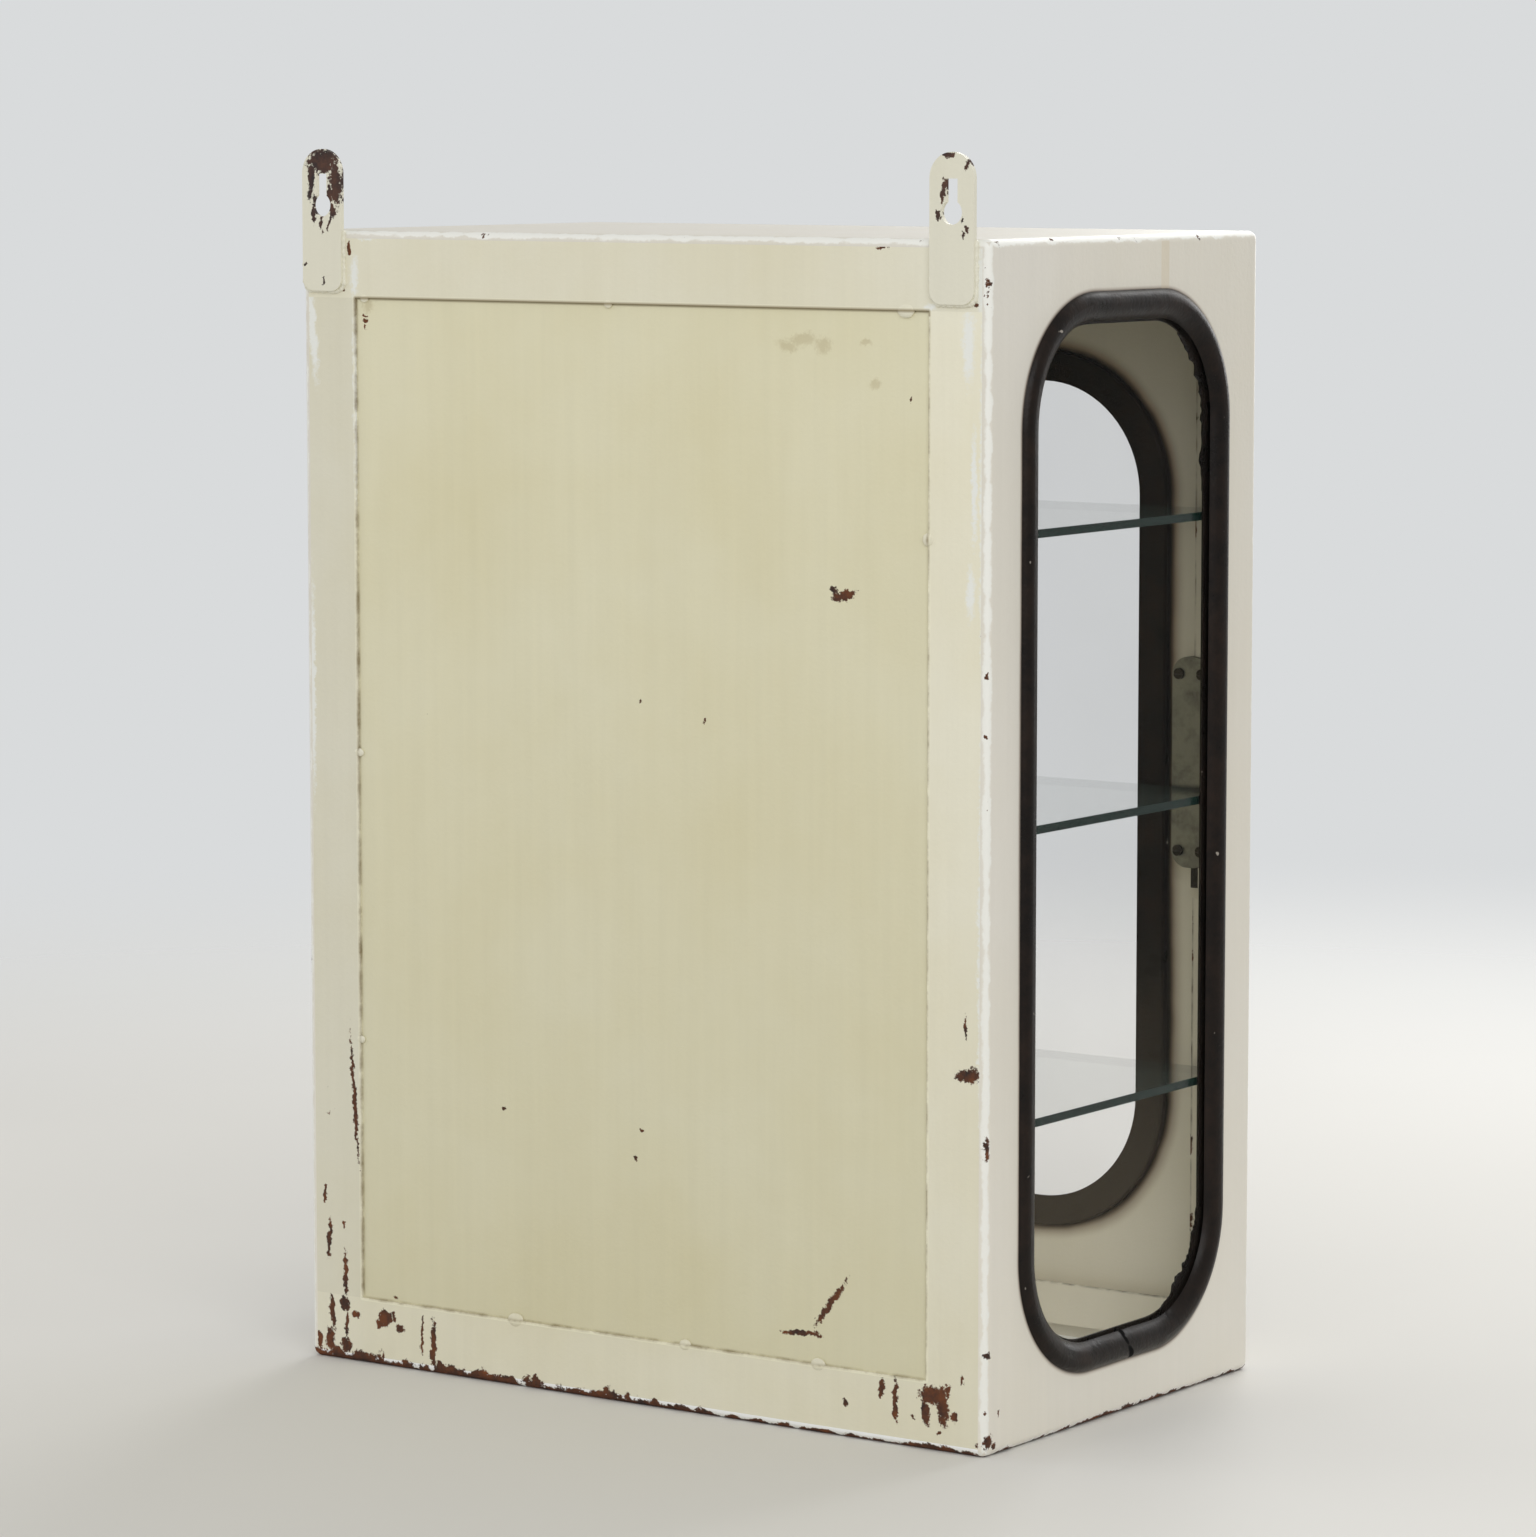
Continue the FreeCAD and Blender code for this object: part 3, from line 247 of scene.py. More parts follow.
def shade(tree, inputs):
    """Adds the shader with its inputs and joins it to the material's output."""
    shader = add(tree, "ShaderNodeBsdfPrincipled", inputs)
    add(tree, "ShaderNodeOutputMaterial", {"Surface": shader}, out=slice(None))


def new_material(name):
    """A material with an empty node tree."""
    material = bpy.data.materials.new(name)
    material.use_nodes = True
    material.node_tree.nodes.clear()
    return material, material.node_tree


def paint_nodes(names, material):
    """Gives CAD nodes a material."""
    for name in names:
        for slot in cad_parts[name].material_slots:
            slot.material = material


def finish_piece(piece, name, body, material):
    """Names a new piece, gives it its material and sets it on a body."""
    piece.name = name
    piece.data.name = name
    piece.data.materials.clear()
    piece.data.materials.append(bpy.data.materials[material])
    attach(piece, body)


def lessened(yellowing, share):
    """The yellowing, at a share of its strength."""
    return [1 - (1 - fall) * share for fall in yellowing]


def steps(start, end, step):
    """Values from start to end, both included, about a step apart."""
    count = max(1, round(abs(end - start) / step))
    return [start + (end - start) * i / count for i in range(count + 1)]


def chip_reach(tree, ragged, chips, plane):
    """How far a point is from the nearest chip, as a share of that chip's half size."""
    nearest = None
    for across, z, half_width, half_height, lean in chips:
        if plane == "side":
            middle = (-CASE_HALF_WIDTH, across * MM, z * MM)
            sizes = (CHIP_DEPTH, half_width * MM, half_height * MM)
            turn = (math.radians(lean), 0, 0)
        else:
            middle = (across * MM, CASE_HALF_DEPTH if plane == "back" else DOOR_FOLD_Y, z * MM)
            sizes = (half_width * MM, CHIP_DEPTH, half_height * MM)
            turn = (0, math.radians(lean), 0)
        local = add(tree, "ShaderNodeMapping",
                    {"Vector": ragged, "Location": middle, "Rotation": turn, "Scale": sizes}, vector_type="TEXTURE")
        reach = add(tree, "ShaderNodeVectorMath", {0: local}, out="Value", operation="LENGTH")
        if nearest is None:
            nearest = reach
        else:
            nearest = calc(tree, "MINIMUM", nearest, reach)
    return nearest


def rounded_frame_distance(tree, across, z, width, height, radius):
    """Signed distance from a round-cornered rectangle at the windows' middle height, all in metres."""
    far = calc(tree, "ABSOLUTE", across)
    far = calc(tree, "SUBTRACT", far, width / 2 - radius)
    up = calc(tree, "SUBTRACT", z, WINDOW_MIDDLE_Z)
    up = calc(tree, "ABSOLUTE", up)
    up = calc(tree, "SUBTRACT", up, height / 2 - radius)
    inside = calc(tree, "MAXIMUM", far, up)
    inside = calc(tree, "MINIMUM", inside, 0.0)
    corner = add(tree, "ShaderNodeCombineXYZ", {0: far, 1: up})
    corner = add(tree, "ShaderNodeVectorMath", {0: corner, 1: (0, 0, 0)}, operation="MAXIMUM")
    outside = add(tree, "ShaderNodeVectorMath", {0: corner}, out="Value", operation="LENGTH")
    total = calc(tree, "ADD", inside, outside)
    return calc(tree, "SUBTRACT", total, radius)


def case_edge(tree, x, y, z):
    """1 on the case's outer edges, falling to 0 away from them, and the distance to the nearest outer face."""
    gaps = []
    for value, half in ((x, CASE_HALF_WIDTH), (y, CASE_HALF_DEPTH)):
        size = calc(tree, "ABSOLUTE", value)
        size = calc(tree, "SUBTRACT", half, size)
        gaps.append(calc(tree, "ABSOLUTE", size))
    top = calc(tree, "SUBTRACT", CASE_HEIGHT, z)
    top = calc(tree, "ABSOLUTE", top)
    gaps.append(calc(tree, "MINIMUM", top, z))
    low = calc(tree, "MINIMUM", gaps[0], gaps[1])
    high = calc(tree, "MAXIMUM", gaps[0], gaps[1])
    wall = calc(tree, "MINIMUM", low, gaps[2])
    second = calc(tree, "MINIMUM", high, gaps[2])
    second = calc(tree, "MAXIMUM", low, second)
    edge = ramp(tree, second, (0.0, EDGE_WEAR_AND_HIGHLIGHT_WIDTH), (1.0, 0.0))
    return edge, wall


def aged_enamel(name, paint, yellowing, chips=(), plane="back", spots=None, halo=None, seam=None,
                stained=False, skin=SHEET_SKIN, painted_shading=(0.9, 1.0), rust=("30211C", "78411C"), edges=True):
    """Old brushed enamel: yellowed patches, brush streaks, orange peel, chips down to rust, worn edges with a
    painted highlight, and painted light and shade by height.
    """
    material, tree = new_material(name)
    place = add(tree, "ShaderNodeTexCoord", out="Object")
    x, y, z = add(tree, "ShaderNodeSeparateXYZ", {0: place}, out=slice(None))
    aged = [part * fall for part, fall in zip(paint, yellowing)]

    # Broad yellowing, and fine streaks that run down the sheet as the brush did
    patches = noise(tree, place, 6.0, 4.0, 0.6)
    amount = ramp(tree, patches, (0.35, 0.75), (0.2, 0.75))
    colour = blend(tree, amount, paint, aged)
    brush_place = add(tree, "ShaderNodeMapping", {"Vector": place, "Scale": (150.0, 150.0, 5.0)})
    brush = noise(tree, brush_place, 1.0, 5.0, 0.65)
    streak = ramp(tree, brush, (0.3, 0.7), (0.98, 1.01))
    colour = blend(tree, 1.0, colour, streak, "MULTIPLY")

    # Painted light and shade: the colour is scaled from the underside up to SHADED_HEIGHT by a pair of factors given
    # for each part
    painted_shade = ramp(tree, z, (0.0, SHADED_HEIGHT), painted_shading)
    colour = blend(tree, 1.0, colour, painted_shade, "MULTIPLY")

    # Ragged copies of the place give chips and worn edges their torn outlines
    grain = noise(tree, place, 170.0, 6.0, 0.72, out="Color")
    shift = add(tree, "ShaderNodeVectorMath", {0: grain, 1: (0.5, 0.5, 0.5)}, operation="SUBTRACT")
    ragged = add(tree, "ShaderNodeVectorMath", {0: shift, 1: (CHIP_RAGGEDNESS,) * 3, 2: place},
                 operation="MULTIPLY_ADD")
    torn = noise(tree, place, 420.0, 5.0, 0.75)
    torn = ramp(tree, torn, (0.25, 0.75), (-0.5, 0.5))
    edge, wall = case_edge(tree, x, y, z)
    if not edges:
        edge = 0.0
    outside = calc(tree, "LESS_THAN", wall, skin)
    wear_noise = noise(tree, place, 75.0, 6.0, 0.65)
    wear = calc(tree, "MULTIPLY_ADD", edge, 0.16, wear_noise)
    bare = ramp(tree, wear, (0.765, 0.785))

    # Rust creeps up from the edge that the case stands on, most at the hinge side of the back
    reach = ramp(tree, x, (-60 * MM, 20 * MM), (6 * MM, 13 * MM))
    low = calc(tree, "DIVIDE", z, reach)
    low = ramp(tree, low, target=(0.4, 0.0))
    low = calc(tree, "ADD", low, wear_noise)
    foot = ramp(tree, low, (0.74, 0.77))
    bare = calc(tree, "MAXIMUM", bare, foot)
    if chips:
        nearest = chip_reach(tree, ragged, chips, plane)
        nearest = calc(tree, "ADD", nearest, torn)
        chip = ramp(tree, nearest, (0.95, 1.08), (1.0, 0.0))
        bare = calc(tree, "MAXIMUM", bare, chip)
    bare = calc(tree, "MULTIPLY", bare, outside)

    # White touched-up spots, partly painted highlight along the frame's edges, or brown scuffs
    if spots:
        places, tint, strength = spots
        nearest = chip_reach(tree, ragged, places, plane)
        nearest = calc(tree, "ADD", nearest, torn)
        spot = ramp(tree, nearest, (0.6, 1.3), (strength, 0.0))
        colour = blend(tree, spot, colour, linear(tint))

    # Rubbed edges are paler, and the pale band along the case's rounded edges is also a painted highlight
    pale = calc(tree, "MULTIPLY_ADD", wear_noise, 1.1, edge)
    pale = ramp(tree, pale, (1.0, 1.16), (0.0, 0.9))
    pale = calc(tree, "MULTIPLY", pale, outside)
    colour = blend(tree, pale, colour, linear("F4F4EE"))

    # Brown bleed from the rubber round a window
    if halo:
        across = x if halo.across == "x" else y
        distance = rounded_frame_distance(tree, across, z, halo.width, halo.height, halo.radius)
        uneven = calc(tree, "MULTIPLY_ADD", patches, halo.bleed, distance)
        behind = calc(tree, "GREATER_THAN", y, halo.nearest_y)
        for reach, share, tint in ((1.5, halo.strength * 0.85, "6A4216"), (0.95, halo.strength, "17100A")):
            stain = ramp(tree, uneven, (0.5 * halo.bleed, reach * halo.bleed), (share, 0.0), smooth=True)
            stain = calc(tree, "MULTIPLY", stain, behind)
            colour = blend(tree, stain, colour, linear(tint))

    # Pale brown mark that a strip of tape left above the side window
    if stained:
        mark = calc(tree, "COMPARE", y, TAPE_Y, TAPE_HALF_WIDTH)
        above = calc(tree, "COMPARE", z, TAPE_Z, TAPE_HALF_HEIGHT)
        mark = calc(tree, "MULTIPLY", mark, above)
        there = calc(tree, "LESS_THAN", x, LEFT_FACE_X)
        mark = calc(tree, "MULTIPLY", mark, there)
        mark = calc(tree, "MULTIPLY", mark, 0.4)
        colour = blend(tree, mark, colour, linear("D3C3A4"))

    # Dirt lies in the seam round the back panel; under the top rail the line is unbroken painted shadow as well as
    # dirt. Along the door's folded edge the line is painted shade at the fold's free edge
    if seam:
        distance = rounded_frame_distance(tree, x, z, seam.width, seam.height, 0.5 * MM)
        if plane == "back":
            bead = calc(tree, "COMPARE", distance, 0.9 * MM, 0.8 * MM)
            bead = calc(tree, "MULTIPLY", bead, patches)
            bead = calc(tree, "MULTIPLY", bead, outside)
            colour = blend(tree, bead, colour, linear("F6F2D8"))
        distance = calc(tree, "ABSOLUTE", distance)
        dirt = ramp(tree, distance, (0.2 * MM, 1.6 * MM), (seam.strength, 0.0))
        patchy = ramp(tree, wear_noise, (0.38, 0.68))
        # Painted shadow: under the top rail the line runs unbroken
        rail_shadow = calc(tree, "GREATER_THAN", z, RAIL_SHADOW_Z)
        patchy = calc(tree, "MAXIMUM", patchy, rail_shadow)
        dirt = calc(tree, "MULTIPLY", dirt, patchy)
        behind = calc(tree, "GREATER_THAN", y, seam.nearest_y)
        dirt = calc(tree, "MULTIPLY", dirt, behind)
        dirt = calc(tree, "MULTIPLY", dirt, outside)
        colour = blend(tree, dirt, colour, seam.dirt)

    # Bare steel and rust show where the enamel is gone
    scale = noise(tree, place, 60.0, 8.0, 0.75)
    scale = ramp(tree, scale, (0.38, 0.66))
    rust = blend(tree, scale, linear(rust[0]), linear(rust[1]))
    colour = blend(tree, bare, colour, rust)
    gloss = ramp(tree, brush, (0.3, 0.7), (0.32, 0.48))
    rough = between(tree, bare, gloss, 0.85)

    # Height: orange peel and brush lines, with the chips sunk in
    peel = noise(tree, place, 350.0, 2.0, 0.5)
    height = calc(tree, "MULTIPLY_ADD", brush, 0.5, peel)
    height = calc(tree, "MULTIPLY_ADD", bare, -1.5, height)
    bump = add(tree, "ShaderNodeBump", {"Strength": 0.35, "Distance": 0.4 * MM, "Height": height})
    shade(tree, {"Base Color": colour, "Roughness": rough, "Normal": bump})
    return material


def old_rubber(name, colour, shine, painted_light_share):
    """Aged black rubber: brown bloom, painted light that makes it lighter low down, ripples, and the crack where its
    ends meet.
    """
    material, tree = new_material(name)
    place = add(tree, "ShaderNodeTexCoord", out="Object")
    bloom = noise(tree, place, 45.0, 6.0, 0.7)
    amount = ramp(tree, bloom, (0.4, 0.75), (0.1, 0.7))
    tone = blend(tree, amount, colour, linear("2E2018"))
    specks = noise(tree, place, 160.0, 2.0, 0.4)
    specks = ramp(tree, specks, (0.76, 0.79))
    tone = blend(tree, specks, tone, linear("9A938A"))
    z = add(tree, "ShaderNodeSeparateXYZ", {0: place}, out="Z")
    # Painted light: the rubber turns a lighter grey-brown low down
    painted_light = ramp(tree, z, (PAINTED_LIGHT_LOW, PAINTED_LIGHT_HIGH), (painted_light_share, 0.0), smooth=True)
    tone = blend(tree, painted_light, tone, linear("5C544A"))
    crack = chip_reach(tree, place, GASKET_JOINT, "side")
    crack = ramp(tree, crack, (0.8, 1.2), (1.0, 0.0))
    tone = blend(tree, crack, tone, linear("020202"))
    grain = noise(tree, place, 420.0, 3.0, 0.6)
    rough = ramp(tree, bloom, (0.3, 0.75), (0.24, 0.42))
    rough = between(tree, crack, rough, 0.95)
    height = calc(tree, "MULTIPLY_ADD", bloom, 2.5, grain)
    bump = add(tree, "ShaderNodeBump", {"Strength": 0.35, "Distance": 0.5 * MM, "Height": height})
    shade(tree, {"Base Color": tone, "Roughness": rough, "Normal": bump, "Specular IOR Level": shine})
    return material


def clear_glass(name):
    """Old window glass: clear, with more reflection at a slant and faint smears."""
    material, tree = new_material(name)
    place = add(tree, "ShaderNodeTexCoord", out="Object")
    smear = noise(tree, place, 9.0, 5.0, 0.6)
    slant = add(tree, "ShaderNodeLayerWeight", {"Blend": 0.5}, out="Facing")
    slant = calc(tree, "POWER", slant, 4.0)
    film = ramp(tree, smear, (0.4, 0.8), (0.03, 0.042))
    alpha = calc(tree, "MULTIPLY_ADD", slant, 0.5, film)
    rough = ramp(tree, smear, (0.3, 0.8), (0.02, 0.1))
    shade(tree, {"Base Color": opaque(linear("262927")), "Roughness": rough, "Alpha": alpha, "IOR": 1.5})
    return material


def shelf_glass(name, edge_colour):
    """Thick shelf glass: nearly clear faces and dark green cut edges with lighter ground streaks."""
    material, tree = new_material(name)
    place = add(tree, "ShaderNodeTexCoord", out="Object")
    normal = add(tree, "ShaderNodeNewGeometry", out="Normal")
    up = add(tree, "ShaderNodeSeparateXYZ", {0: normal}, out="Z")
    up = calc(tree, "ABSOLUTE", up)
    face = ramp(tree, up, (0.4, 0.6))
    streaks_place = add(tree, "ShaderNodeMapping", {"Vector": place, "Scale": (30.0, 30.0, 700.0)})
    streaks = noise(tree, streaks_place, 1.0, 4.0)
    cut = blend(tree, streaks, edge_colour, linear("0D2B24"))
    colour = blend(tree, face, cut, linear("9DB3AB"))
    slant = add(tree, "ShaderNodeLayerWeight", {"Blend": 0.5}, out="Facing")
    slant = calc(tree, "POWER", slant, 5.0)
    clear = calc(tree, "MULTIPLY_ADD", slant, 0.14, 0.03)
    inner = add(tree, "ShaderNodeNewGeometry", out="Backfacing")
    cut_alpha = between(tree, inner, 1.0, 0.1)
    alpha = between(tree, face, cut_alpha, clear)
    rough = ramp(tree, streaks, target=(0.04, 0.16))
    shade(tree, {"Base Color": colour, "Roughness": rough, "Alpha": alpha, "IOR": 1.5, "Specular IOR Level": 0.3})
    return material


def worn_metal(name, colour, dull, grain_size, low_rough, high_rough):
    """Metal with rubbed brush lines and dull spots, so its shine breaks up."""
    material, tree = new_material(name)
    place = add(tree, "ShaderNodeTexCoord", out="Object")
    spots = noise(tree, place, 90.0, 6.0, 0.7)
    amount = ramp(tree, spots, (0.45, 0.75))
    tone = blend(tree, amount, colour, dull)
    lines_place = add(tree, "ShaderNodeMapping", {"Vector": place, "Scale": (1 / grain_size, 40.0, 40.0)})
    lines = noise(tree, lines_place, 1.0, 3.0)
    rough = ramp(tree, amount, target=(low_rough, high_rough))
    bump = add(tree, "ShaderNodeBump", {"Strength": 0.12, "Distance": 0.2 * MM, "Height": lines})
    shade(tree, {"Base Color": tone, "Metallic": 1.0, "Roughness": rough, "Normal": bump})
    return material


class CABINET_OT_paint_back(bpy.types.Operator):
    """Paint the back frame, the back panel and the lugs with cream enamel"""
    bl_idname = "cabinet.paint_back"
    bl_label = "Paint the back"

    def execute(self, context):
        looks = context.scene.cabinet_looks
        seam = Seam(418 * MM, 618 * MM, strength=0.75, dirt=linear("75602F"), nearest_y=0.0)
        lugs = aged_enamel("Cream enamel, lugs", looks.frame_paint, lessened(looks.yellowing, 0.4), LUG_CHIPS,
                           skin=ANY_DEPTH, painted_shading=(0.95, 0.95), rust=("272022", "5E3D2E"), edges=False)
        paint_nodes(LUG_NODES, lugs)
        # The white spots are touched-up paint, and their long strips along the outer edges are painted highlight as
        # well
        white = ("EFF1EE", 0.85)
        # The last figures of each row are painted light and shade: the left stile lighter towards the top, the right
        # stile darker, the panel and rails darker low down
        for node, name, paint, chips, spots, skin, painted_shading in (
                ("back_stile_left", "left stile", looks.frame_paint, LEFT_STILE_CHIPS,
                 (LEFT_STILE_WHITE, *white), SHEET_SKIN, (0.97, 1.08)),
                ("back_stile_right", "right stile", looks.frame_paint, RIGHT_STILE_CHIPS,
                 (RIGHT_STILE_WHITE, *white), SHEET_SKIN, (0.9, 0.92)),
                ("back_rail_top", "top rail", looks.frame_paint, TOP_RAIL_CHIPS,
                 (TOP_RAIL_WHITE, *white), SHEET_SKIN, (0.92, 1.0)),
                ("back_rail_bottom", "low rail", looks.frame_paint, LOW_RAIL_CHIPS, None, SHEET_SKIN, (0.97, 1.0)),
                ("back_panel", "panel", looks.panel_paint, PANEL_CHIPS, (PANEL_SCUFFS, "A3905E", 0.32),
                 PANEL_SKIN, (0.9, 1.0))):
            material = aged_enamel("Cream enamel, " + name, paint, looks.yellowing, chips, spots=spots, seam=seam,
                                   skin=skin, painted_shading=painted_shading)
            paint_nodes((node,), material)
        return {"FINISHED"}


class CABINET_OT_paint_sides(bpy.types.Operator):
    """Paint the sides, top, bottom and front frame with white enamel"""
    bl_idname = "cabinet.paint_sides"
    bl_label = "Paint the sides"

    def execute(self, context):
        looks = context.scene.cabinet_looks
        halo = Halo("y", 230 * MM, 636 * MM, 78 * MM, bleed=3 * MM, strength=0.7, nearest_y=-160 * MM)
        # Painted light and shade on the sides: a little lighter low down, darker towards the top
        material = aged_enamel("White enamel", looks.side_paint, lessened(looks.yellowing, 0.5), SIDE_CHIPS, "side",
                               halo=halo, stained=True, painted_shading=(1.06, 0.97))
        paint_nodes(SIDE_NODES, material)
        # Painted light: the floor's paint is cooler, unyellowed and brightened, standing in for the light on it
        floor_lit_paint = [part * shift for part, shift in zip(looks.side_paint, FLOOR_LIGHT_TINT)]
        floor = aged_enamel("White enamel, floor", floor_lit_paint, NO_YELLOWING, SIDE_CHIPS, "side", painted_shading=(1.22, 1.22))
        paint_nodes(("bottom_panel",), floor)
        return {"FINISHED"}


class CABINET_OT_paint_door(bpy.types.Operator):
    """Paint the door with white enamel, stained round its window"""
    bl_idname = "cabinet.paint_door"
    bl_label = "Paint the door"

    def execute(self, context):
        looks = context.scene.cabinet_looks
        halo = Halo("x", 380 * MM, 550 * MM, 88 * MM, bleed=12 * MM, strength=0.97, nearest_y=-149.5 * MM)
        # Painted shade: the seam line here is a dark line along the free edge of the door's fold
        seam = Seam(428.4 * MM, 618.4 * MM, strength=0.95, dirt=linear("4B3D2B"), nearest_y=-145 * MM)
        # Painted light and shade on the door: lighter low down, darker towards the top
        material = aged_enamel("Door enamel", looks.door_paint, lessened(looks.yellowing, 0.5), DOOR_CHIPS, "door",
                               halo=halo, seam=seam, skin=ANY_DEPTH, painted_shading=(1.32, 0.78))
        paint_nodes(DOOR_NODES, material)
        return {"FINISHED"}


class CABINET_OT_rubber(bpy.types.Operator):
    """Give the window gaskets old black rubber"""
    bl_idname = "cabinet.rubber"
    bl_label = "Rubber gaskets"

    def execute(self, context):
        colour = context.scene.cabinet_looks.rubber
        paint_nodes(SIDE_GASKET_NODES, old_rubber("Old rubber", colour, shine=0.18, painted_light_share=0.02))
        # Painted light: the door gasket is painted much lighter low down
        paint_nodes(("door_gasket",), old_rubber("Rubber, painted lighter low down", colour, shine=0.1, painted_light_share=0.75))
        return {"FINISHED"}


class CABINET_OT_glass(bpy.types.Operator):
    """Give the panes and the shelves their glass"""
    bl_idname = "cabinet.glass"
    bl_label = "Glass"

    def execute(self, context):
        paint_nodes(WINDOW_NODES, clear_glass("Window glass"))
        paint_nodes(SHELF_NODES, shelf_glass("Shelf glass", context.scene.cabinet_looks.shelf_edge))
        return {"FINISHED"}


class CABINET_OT_metal(bpy.types.Operator):
    """Give the lock, the handle, the hinge pins and the key plug their metals"""
    bl_idname = "cabinet.metal"
    bl_label = "Lock and handle metal"

    def execute(self, context):
        zinc = worn_metal("Dull zinc steel", linear("84837C"), linear("66655E"), 0.4 * MM, 0.42, 0.6)
        dark = worn_metal("Dark screw steel", linear("3E3A36"), linear("25211E"), 0.4 * MM, 0.4, 0.65)
        chrome = worn_metal("Worn chrome", linear("D8D8D6"), linear("A9A7A2"), 0.3 * MM, 0.08, 0.24)
        brass = worn_metal("Satin brass", linear("C6A462"), linear("8C6F3C"), 0.3 * MM, 0.25, 0.42)
        paint_nodes(STEEL_NODES, zinc)
        paint_nodes(DARK_NODES, dark)
        paint_nodes(CHROME_NODES, chrome)
        paint_nodes(BRASS_NODES, brass)
        return {"FINISHED"}


class CABINET_OT_tack_welds(bpy.types.Operator):
    """Model the painted tack welds along the seam of the back panel"""
    bl_idname = "cabinet.tack_welds"
    bl_label = "Tack welds"

    def execute(self, context):
        looks = context.scene.cabinet_looks
        dice = random.Random(4)
        bpy.ops.object.select_all(action="DESELECT")
        beads = []
        for index, (across, z) in enumerate(TACKS):
            size = looks.tack_size * dice.uniform(0.8, 1.25)
            spot = (across * MM, TACK_Y, z * MM)
            bpy.ops.mesh.primitive_uv_sphere_add(segments=24, ring_count=16, radius=size, location=spot)
            bead = context.object
            bpy.ops.object.mode_set(mode="EDIT")
            bpy.ops.mesh.select_all(action="SELECT")
            bpy.ops.transform.vertex_random(offset=size * 0.16, seed=index + 1)
            bpy.ops.mesh.vertices_smooth(factor=0.6, repeat=3)
            bpy.ops.transform.resize(value=(dice.uniform(1.1, 1.7), 0.5, dice.uniform(0.8, 1.2)),
                                     center_override=spot)
            bpy.ops.object.mode_set(mode="OBJECT")
            bpy.ops.object.transform_apply(location=True, rotation=True, scale=True)
            bpy.ops.object.shade_smooth()
            beads.append(bead)
        for bead in beads:
            bead.select_set(True)
        context.view_layer.objects.active = beads[0]
        bpy.ops.object.join()
        bpy.ops.object.transform_apply(location=True, rotation=True, scale=True)
        finish_piece(context.object, "tack_welds", "case", "Cream enamel, top rail")
        return {"FINISHED"}


class CABINET_OT_lug_welds(bpy.types.Operator):
    """Model the painted-over weld beads round the feet of the hanging lugs"""
    bl_idname = "cabinet.lug_welds"
    bl_label = "Lug welds"

    def execute(self, context):
        dice = random.Random(11)
        for node in LUG_NODES:
            low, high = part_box(node)
            corner = LUG_CORNER
            angles = steps(0.2, 1.5, 0.3)
            path = [(low.x, z) for z in steps(LUG_WELD_TOP, low.z + corner, LUG_WELD_STEP)]
            path += [(low.x + corner - corner * math.cos(a), low.z + corner - corner * math.sin(a)) for a in angles]
            path += [(x, low.z) for x in steps(low.x + corner, high.x - corner, LUG_WELD_STEP)]
            path += [(high.x - corner + corner * math.sin(a), low.z + corner - corner * math.cos(a)) for a in angles]
            path += [(high.x, z) for z in steps(low.z + corner, LUG_WELD_TOP, LUG_WELD_STEP)]
            bpy.ops.object.select_all(action="DESELECT")
            drops = []
            for x, z in path:
                size = dice.uniform(1.3, 2.1) * MM
                spot = (x + dice.uniform(-0.3, 0.3) * MM, LUG_WELD_Y, z)
                bpy.ops.mesh.primitive_ico_sphere_add(subdivisions=2, radius=size, location=spot)
                drops.append(context.object)
            for drop in drops:
                drop.select_set(True)
            bpy.ops.object.join()
            bead = context.object
            bpy.ops.object.transform_apply(location=True, rotation=True, scale=True)
            bead.data.remesh_voxel_size = 0.5 * MM
            bpy.ops.object.voxel_remesh()
            smooth = bead.modifiers.new("Soft", "SMOOTH")
            smooth.iterations = 8
            bpy.ops.object.modifier_apply(modifier=smooth.name)
            bpy.ops.object.shade_smooth()
            finish_piece(bead, node + "_weld", "case", "Cream enamel, lugs")
        return {"FINISHED"}


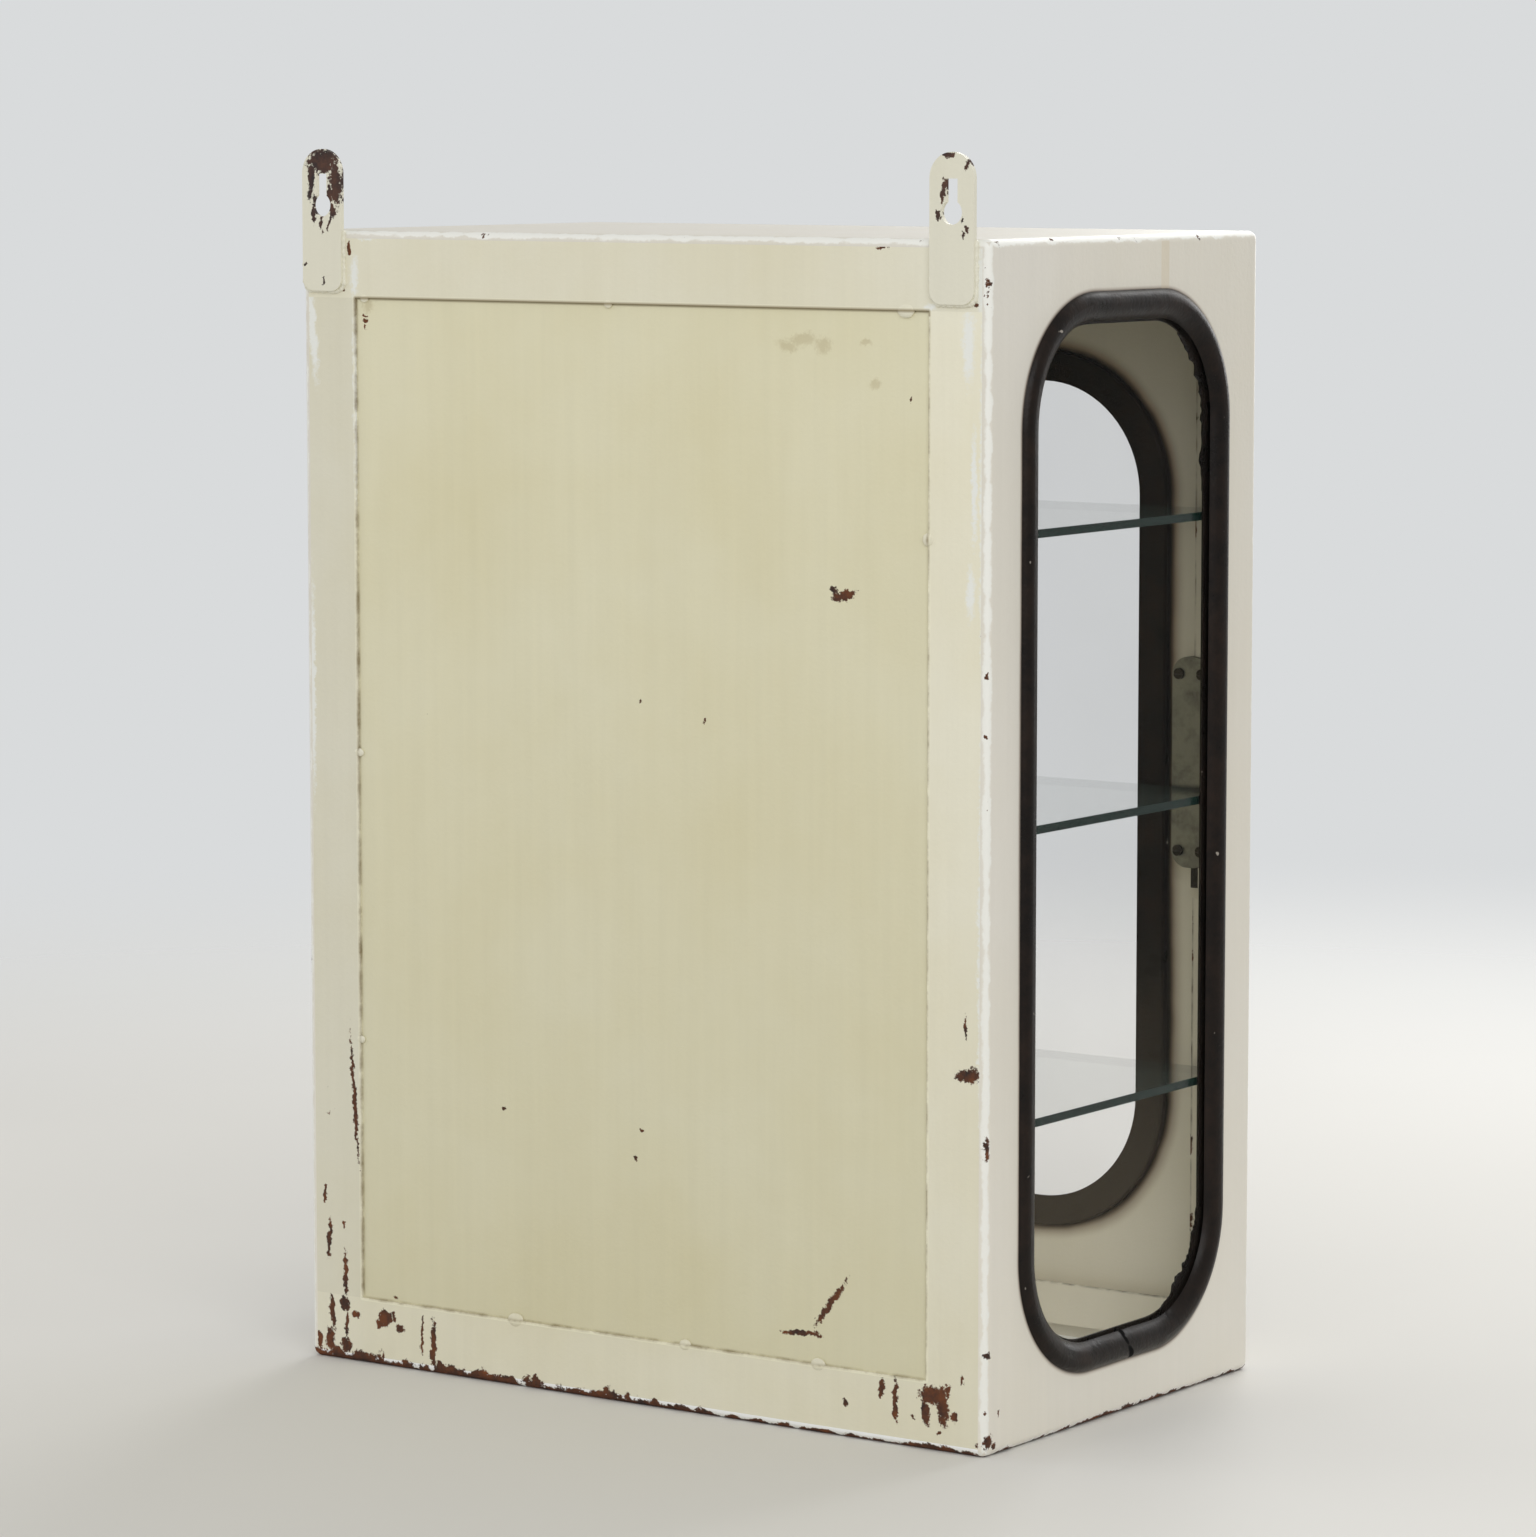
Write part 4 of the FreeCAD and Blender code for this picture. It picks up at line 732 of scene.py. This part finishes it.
class CABINET_OT_torn_lip(bpy.types.Operator):
    """Model the torn scraps of the side gasket's inner lip, behind the glass"""
    bl_idname = "cabinet.torn_lip"
    bl_label = "Torn gasket lip"

    def execute(self, context):
        dice = random.Random(7)
        lower = [(LIP_TURN_Y - LIP_RADIUS * math.cos(a), LIP_LOW_TURN_Z - LIP_RADIUS * math.sin(a))
                 for a in steps(0.02, 1.25, 0.025)]
        upper = [(LIP_Y, z) for z in steps(545 * MM, 588 * MM, 2 * MM)]
        upper += [(LIP_TURN_Y - LIP_RADIUS * math.cos(a), LIP_HIGH_TURN_Z + LIP_RADIUS * math.sin(a))
                  for a in steps(0.02, 1.05, 0.03)]
        for name, path, widest in (("torn_lip_lower", lower, 9 * MM), ("torn_lip_upper", upper, 8 * MM)):
            bpy.ops.object.select_all(action="DESELECT")
            bpy.ops.mesh.primitive_grid_add(x_subdivisions=len(path) - 1, y_subdivisions=1, size=1)
            scrap = context.object
            ragged = 0.5
            for index, (y, z) in enumerate(path):
                share = index / (len(path) - 1)
                ragged = min(1.0, max(0.15, ragged + dice.uniform(-0.22, 0.22)))
                width = widest * ragged * math.sin(math.pi * min(1.0, 0.04 + 0.92 * share)) + 0.3 * MM
                turn_z = LIP_LOW_TURN_Z if z < WINDOW_MIDDLE_Z else LIP_HIGH_TURN_Z
                straight = abs(y - LIP_Y) < 0.1 * MM
                inward = Vector((LIP_TURN_Y - y, 0 if straight else turn_z - z))
                inward.normalize()
                root = Vector((y, z)) - inward * 2 * MM
                tip = Vector((y, z)) + inward * width
                scrap.data.vertices[index].co = (LIP_X, root.x, root.y)
                scrap.data.vertices[index + len(path)].co = (LIP_X + dice.uniform(0, 0.6) * MM, tip.x, tip.y)
            thick = scrap.modifiers.new("Thickness", "SOLIDIFY")
            thick.thickness = LIP_THICKNESS
            thick.offset = 0.0
            bpy.ops.object.modifier_apply(modifier=thick.name)
            bpy.ops.object.mode_set(mode="EDIT")
            bpy.ops.mesh.select_all(action="SELECT")
            bpy.ops.mesh.normals_make_consistent(inside=False)
            bpy.ops.object.mode_set(mode="OBJECT")
            finish_piece(scrap, name, "case", "Old rubber")
        return {"FINISHED"}


class CABINET_OT_stage(bpy.types.Operator):
    """Set up the pale floor, the soft lights and the camera"""
    bl_idname = "cabinet.stage"
    bl_label = "Studio stage"

    def execute(self, context):
        scene = context.scene
        scene.view_settings.view_transform = "Standard"
        bpy.ops.object.select_all(action="DESELECT")
        bpy.ops.mesh.primitive_plane_add(size=FLOOR_SIZE, location=(0, 0, 0))
        floor = context.object
        floor.name = "studio_floor"
        material, tree = new_material("Pale studio floor")
        place = add(tree, "ShaderNodeTexCoord", out="Object")
        cloud = noise(tree, place, 1.5, 2.0)
        tone = blend(tree, cloud, linear("D6D4CF"), linear("DDDBD6"))
        flat = add(tree, "ShaderNodeVectorMath", {0: place}, out="Value", operation="LENGTH")
        here = ramp(tree, flat, FLOOR_FADE, (1.0, 0.0), smooth=True)
        shade(tree, {"Base Color": tone, "Roughness": 0.7, "Alpha": here})
        floor.data.materials.append(material)

        world = bpy.data.worlds.new("Soft studio")
        scene.world = world
        world.use_nodes = True
        tree = world.node_tree
        tree.nodes.clear()
        seen = add(tree, "ShaderNodeLightPath")
        glow = add(tree, "ShaderNodeBackground", {"Color": opaque(linear("F4F4F2")), "Strength": 0.62})
        wall = add(tree, "ShaderNodeBackground", {"Color": opaque(linear("D9DBDC")), "Strength": 1.0})
        sky = add(tree, "ShaderNodeMixShader", {0: seen, 1: glow, 2: wall})
        add(tree, "ShaderNodeOutputWorld", {"Surface": sky}, out=slice(None))

        for name, spot, size, power in LIGHTS:
            data = bpy.data.lights.new(name, "AREA")
            data.shape = "SQUARE"
            data.size = size
            data.energy = power
            light = bpy.data.objects.new(name, data)
            scene.collection.objects.link(light)
            light.location = spot
            light.rotation_euler = (LIGHT_TARGET - Vector(spot)).to_track_quat("-Z", "Y").to_euler()

        lens = bpy.data.cameras.new("photo_view")
        lens.sensor_fit = "HORIZONTAL"
        lens.sensor_width = SENSOR_WIDTH
        lens.lens = FOCAL_LENGTH
        camera = bpy.data.objects.new("photo_view", lens)
        scene.collection.objects.link(camera)
        camera.location = CAMERA_PLACE
        camera.rotation_euler = CAMERA_AIM.to_track_quat("-Z", "Y").to_euler()
        scene.camera = camera
        return {"FINISHED"}


class CABINET_PT_looks(bpy.types.Panel):
    """Sidebar list of the cabinet's settings and steps"""
    bl_label = "Medicine cabinet"
    bl_idname = "CABINET_PT_looks"
    bl_space_type = "VIEW_3D"
    bl_region_type = "UI"
    bl_category = "Cabinet"

    def draw(self, context):
        looks = context.scene.cabinet_looks
        for field in looks.bl_rna.properties.keys():
            if field not in ("rna_type", "name"):
                self.layout.prop(looks, field)
        for step in STEPS:
            self.layout.operator(step.bl_idname)


STEPS = (CABINET_OT_paint_back, CABINET_OT_paint_sides, CABINET_OT_paint_door, CABINET_OT_rubber, CABINET_OT_glass,
         CABINET_OT_metal, CABINET_OT_tack_welds, CABINET_OT_lug_welds, CABINET_OT_torn_lip, CABINET_OT_stage)


def register():
    """Register the settings, the steps and the panel."""
    bpy.utils.register_class(CabinetLooks)
    for step in STEPS:
        bpy.utils.register_class(step)
    bpy.utils.register_class(CABINET_PT_looks)
    bpy.types.Scene.cabinet_looks = bpy.props.PointerProperty(type=CabinetLooks)


def unregister():
    """Take the panel, the steps and the settings away again."""
    del bpy.types.Scene.cabinet_looks
    bpy.utils.unregister_class(CABINET_PT_looks)
    for step in reversed(STEPS):
        bpy.utils.unregister_class(step)
    bpy.utils.unregister_class(CabinetLooks)


def main():
    """Run every step in order."""
    register()
    bpy.ops.cabinet.paint_back()
    bpy.ops.cabinet.paint_sides()
    bpy.ops.cabinet.paint_door()
    bpy.ops.cabinet.rubber()
    bpy.ops.cabinet.glass()
    bpy.ops.cabinet.metal()
    bpy.ops.cabinet.tack_welds()
    bpy.ops.cabinet.lug_welds()
    bpy.ops.cabinet.torn_lip()
    bpy.ops.cabinet.stage()


if __name__ == "__main__":
    main()
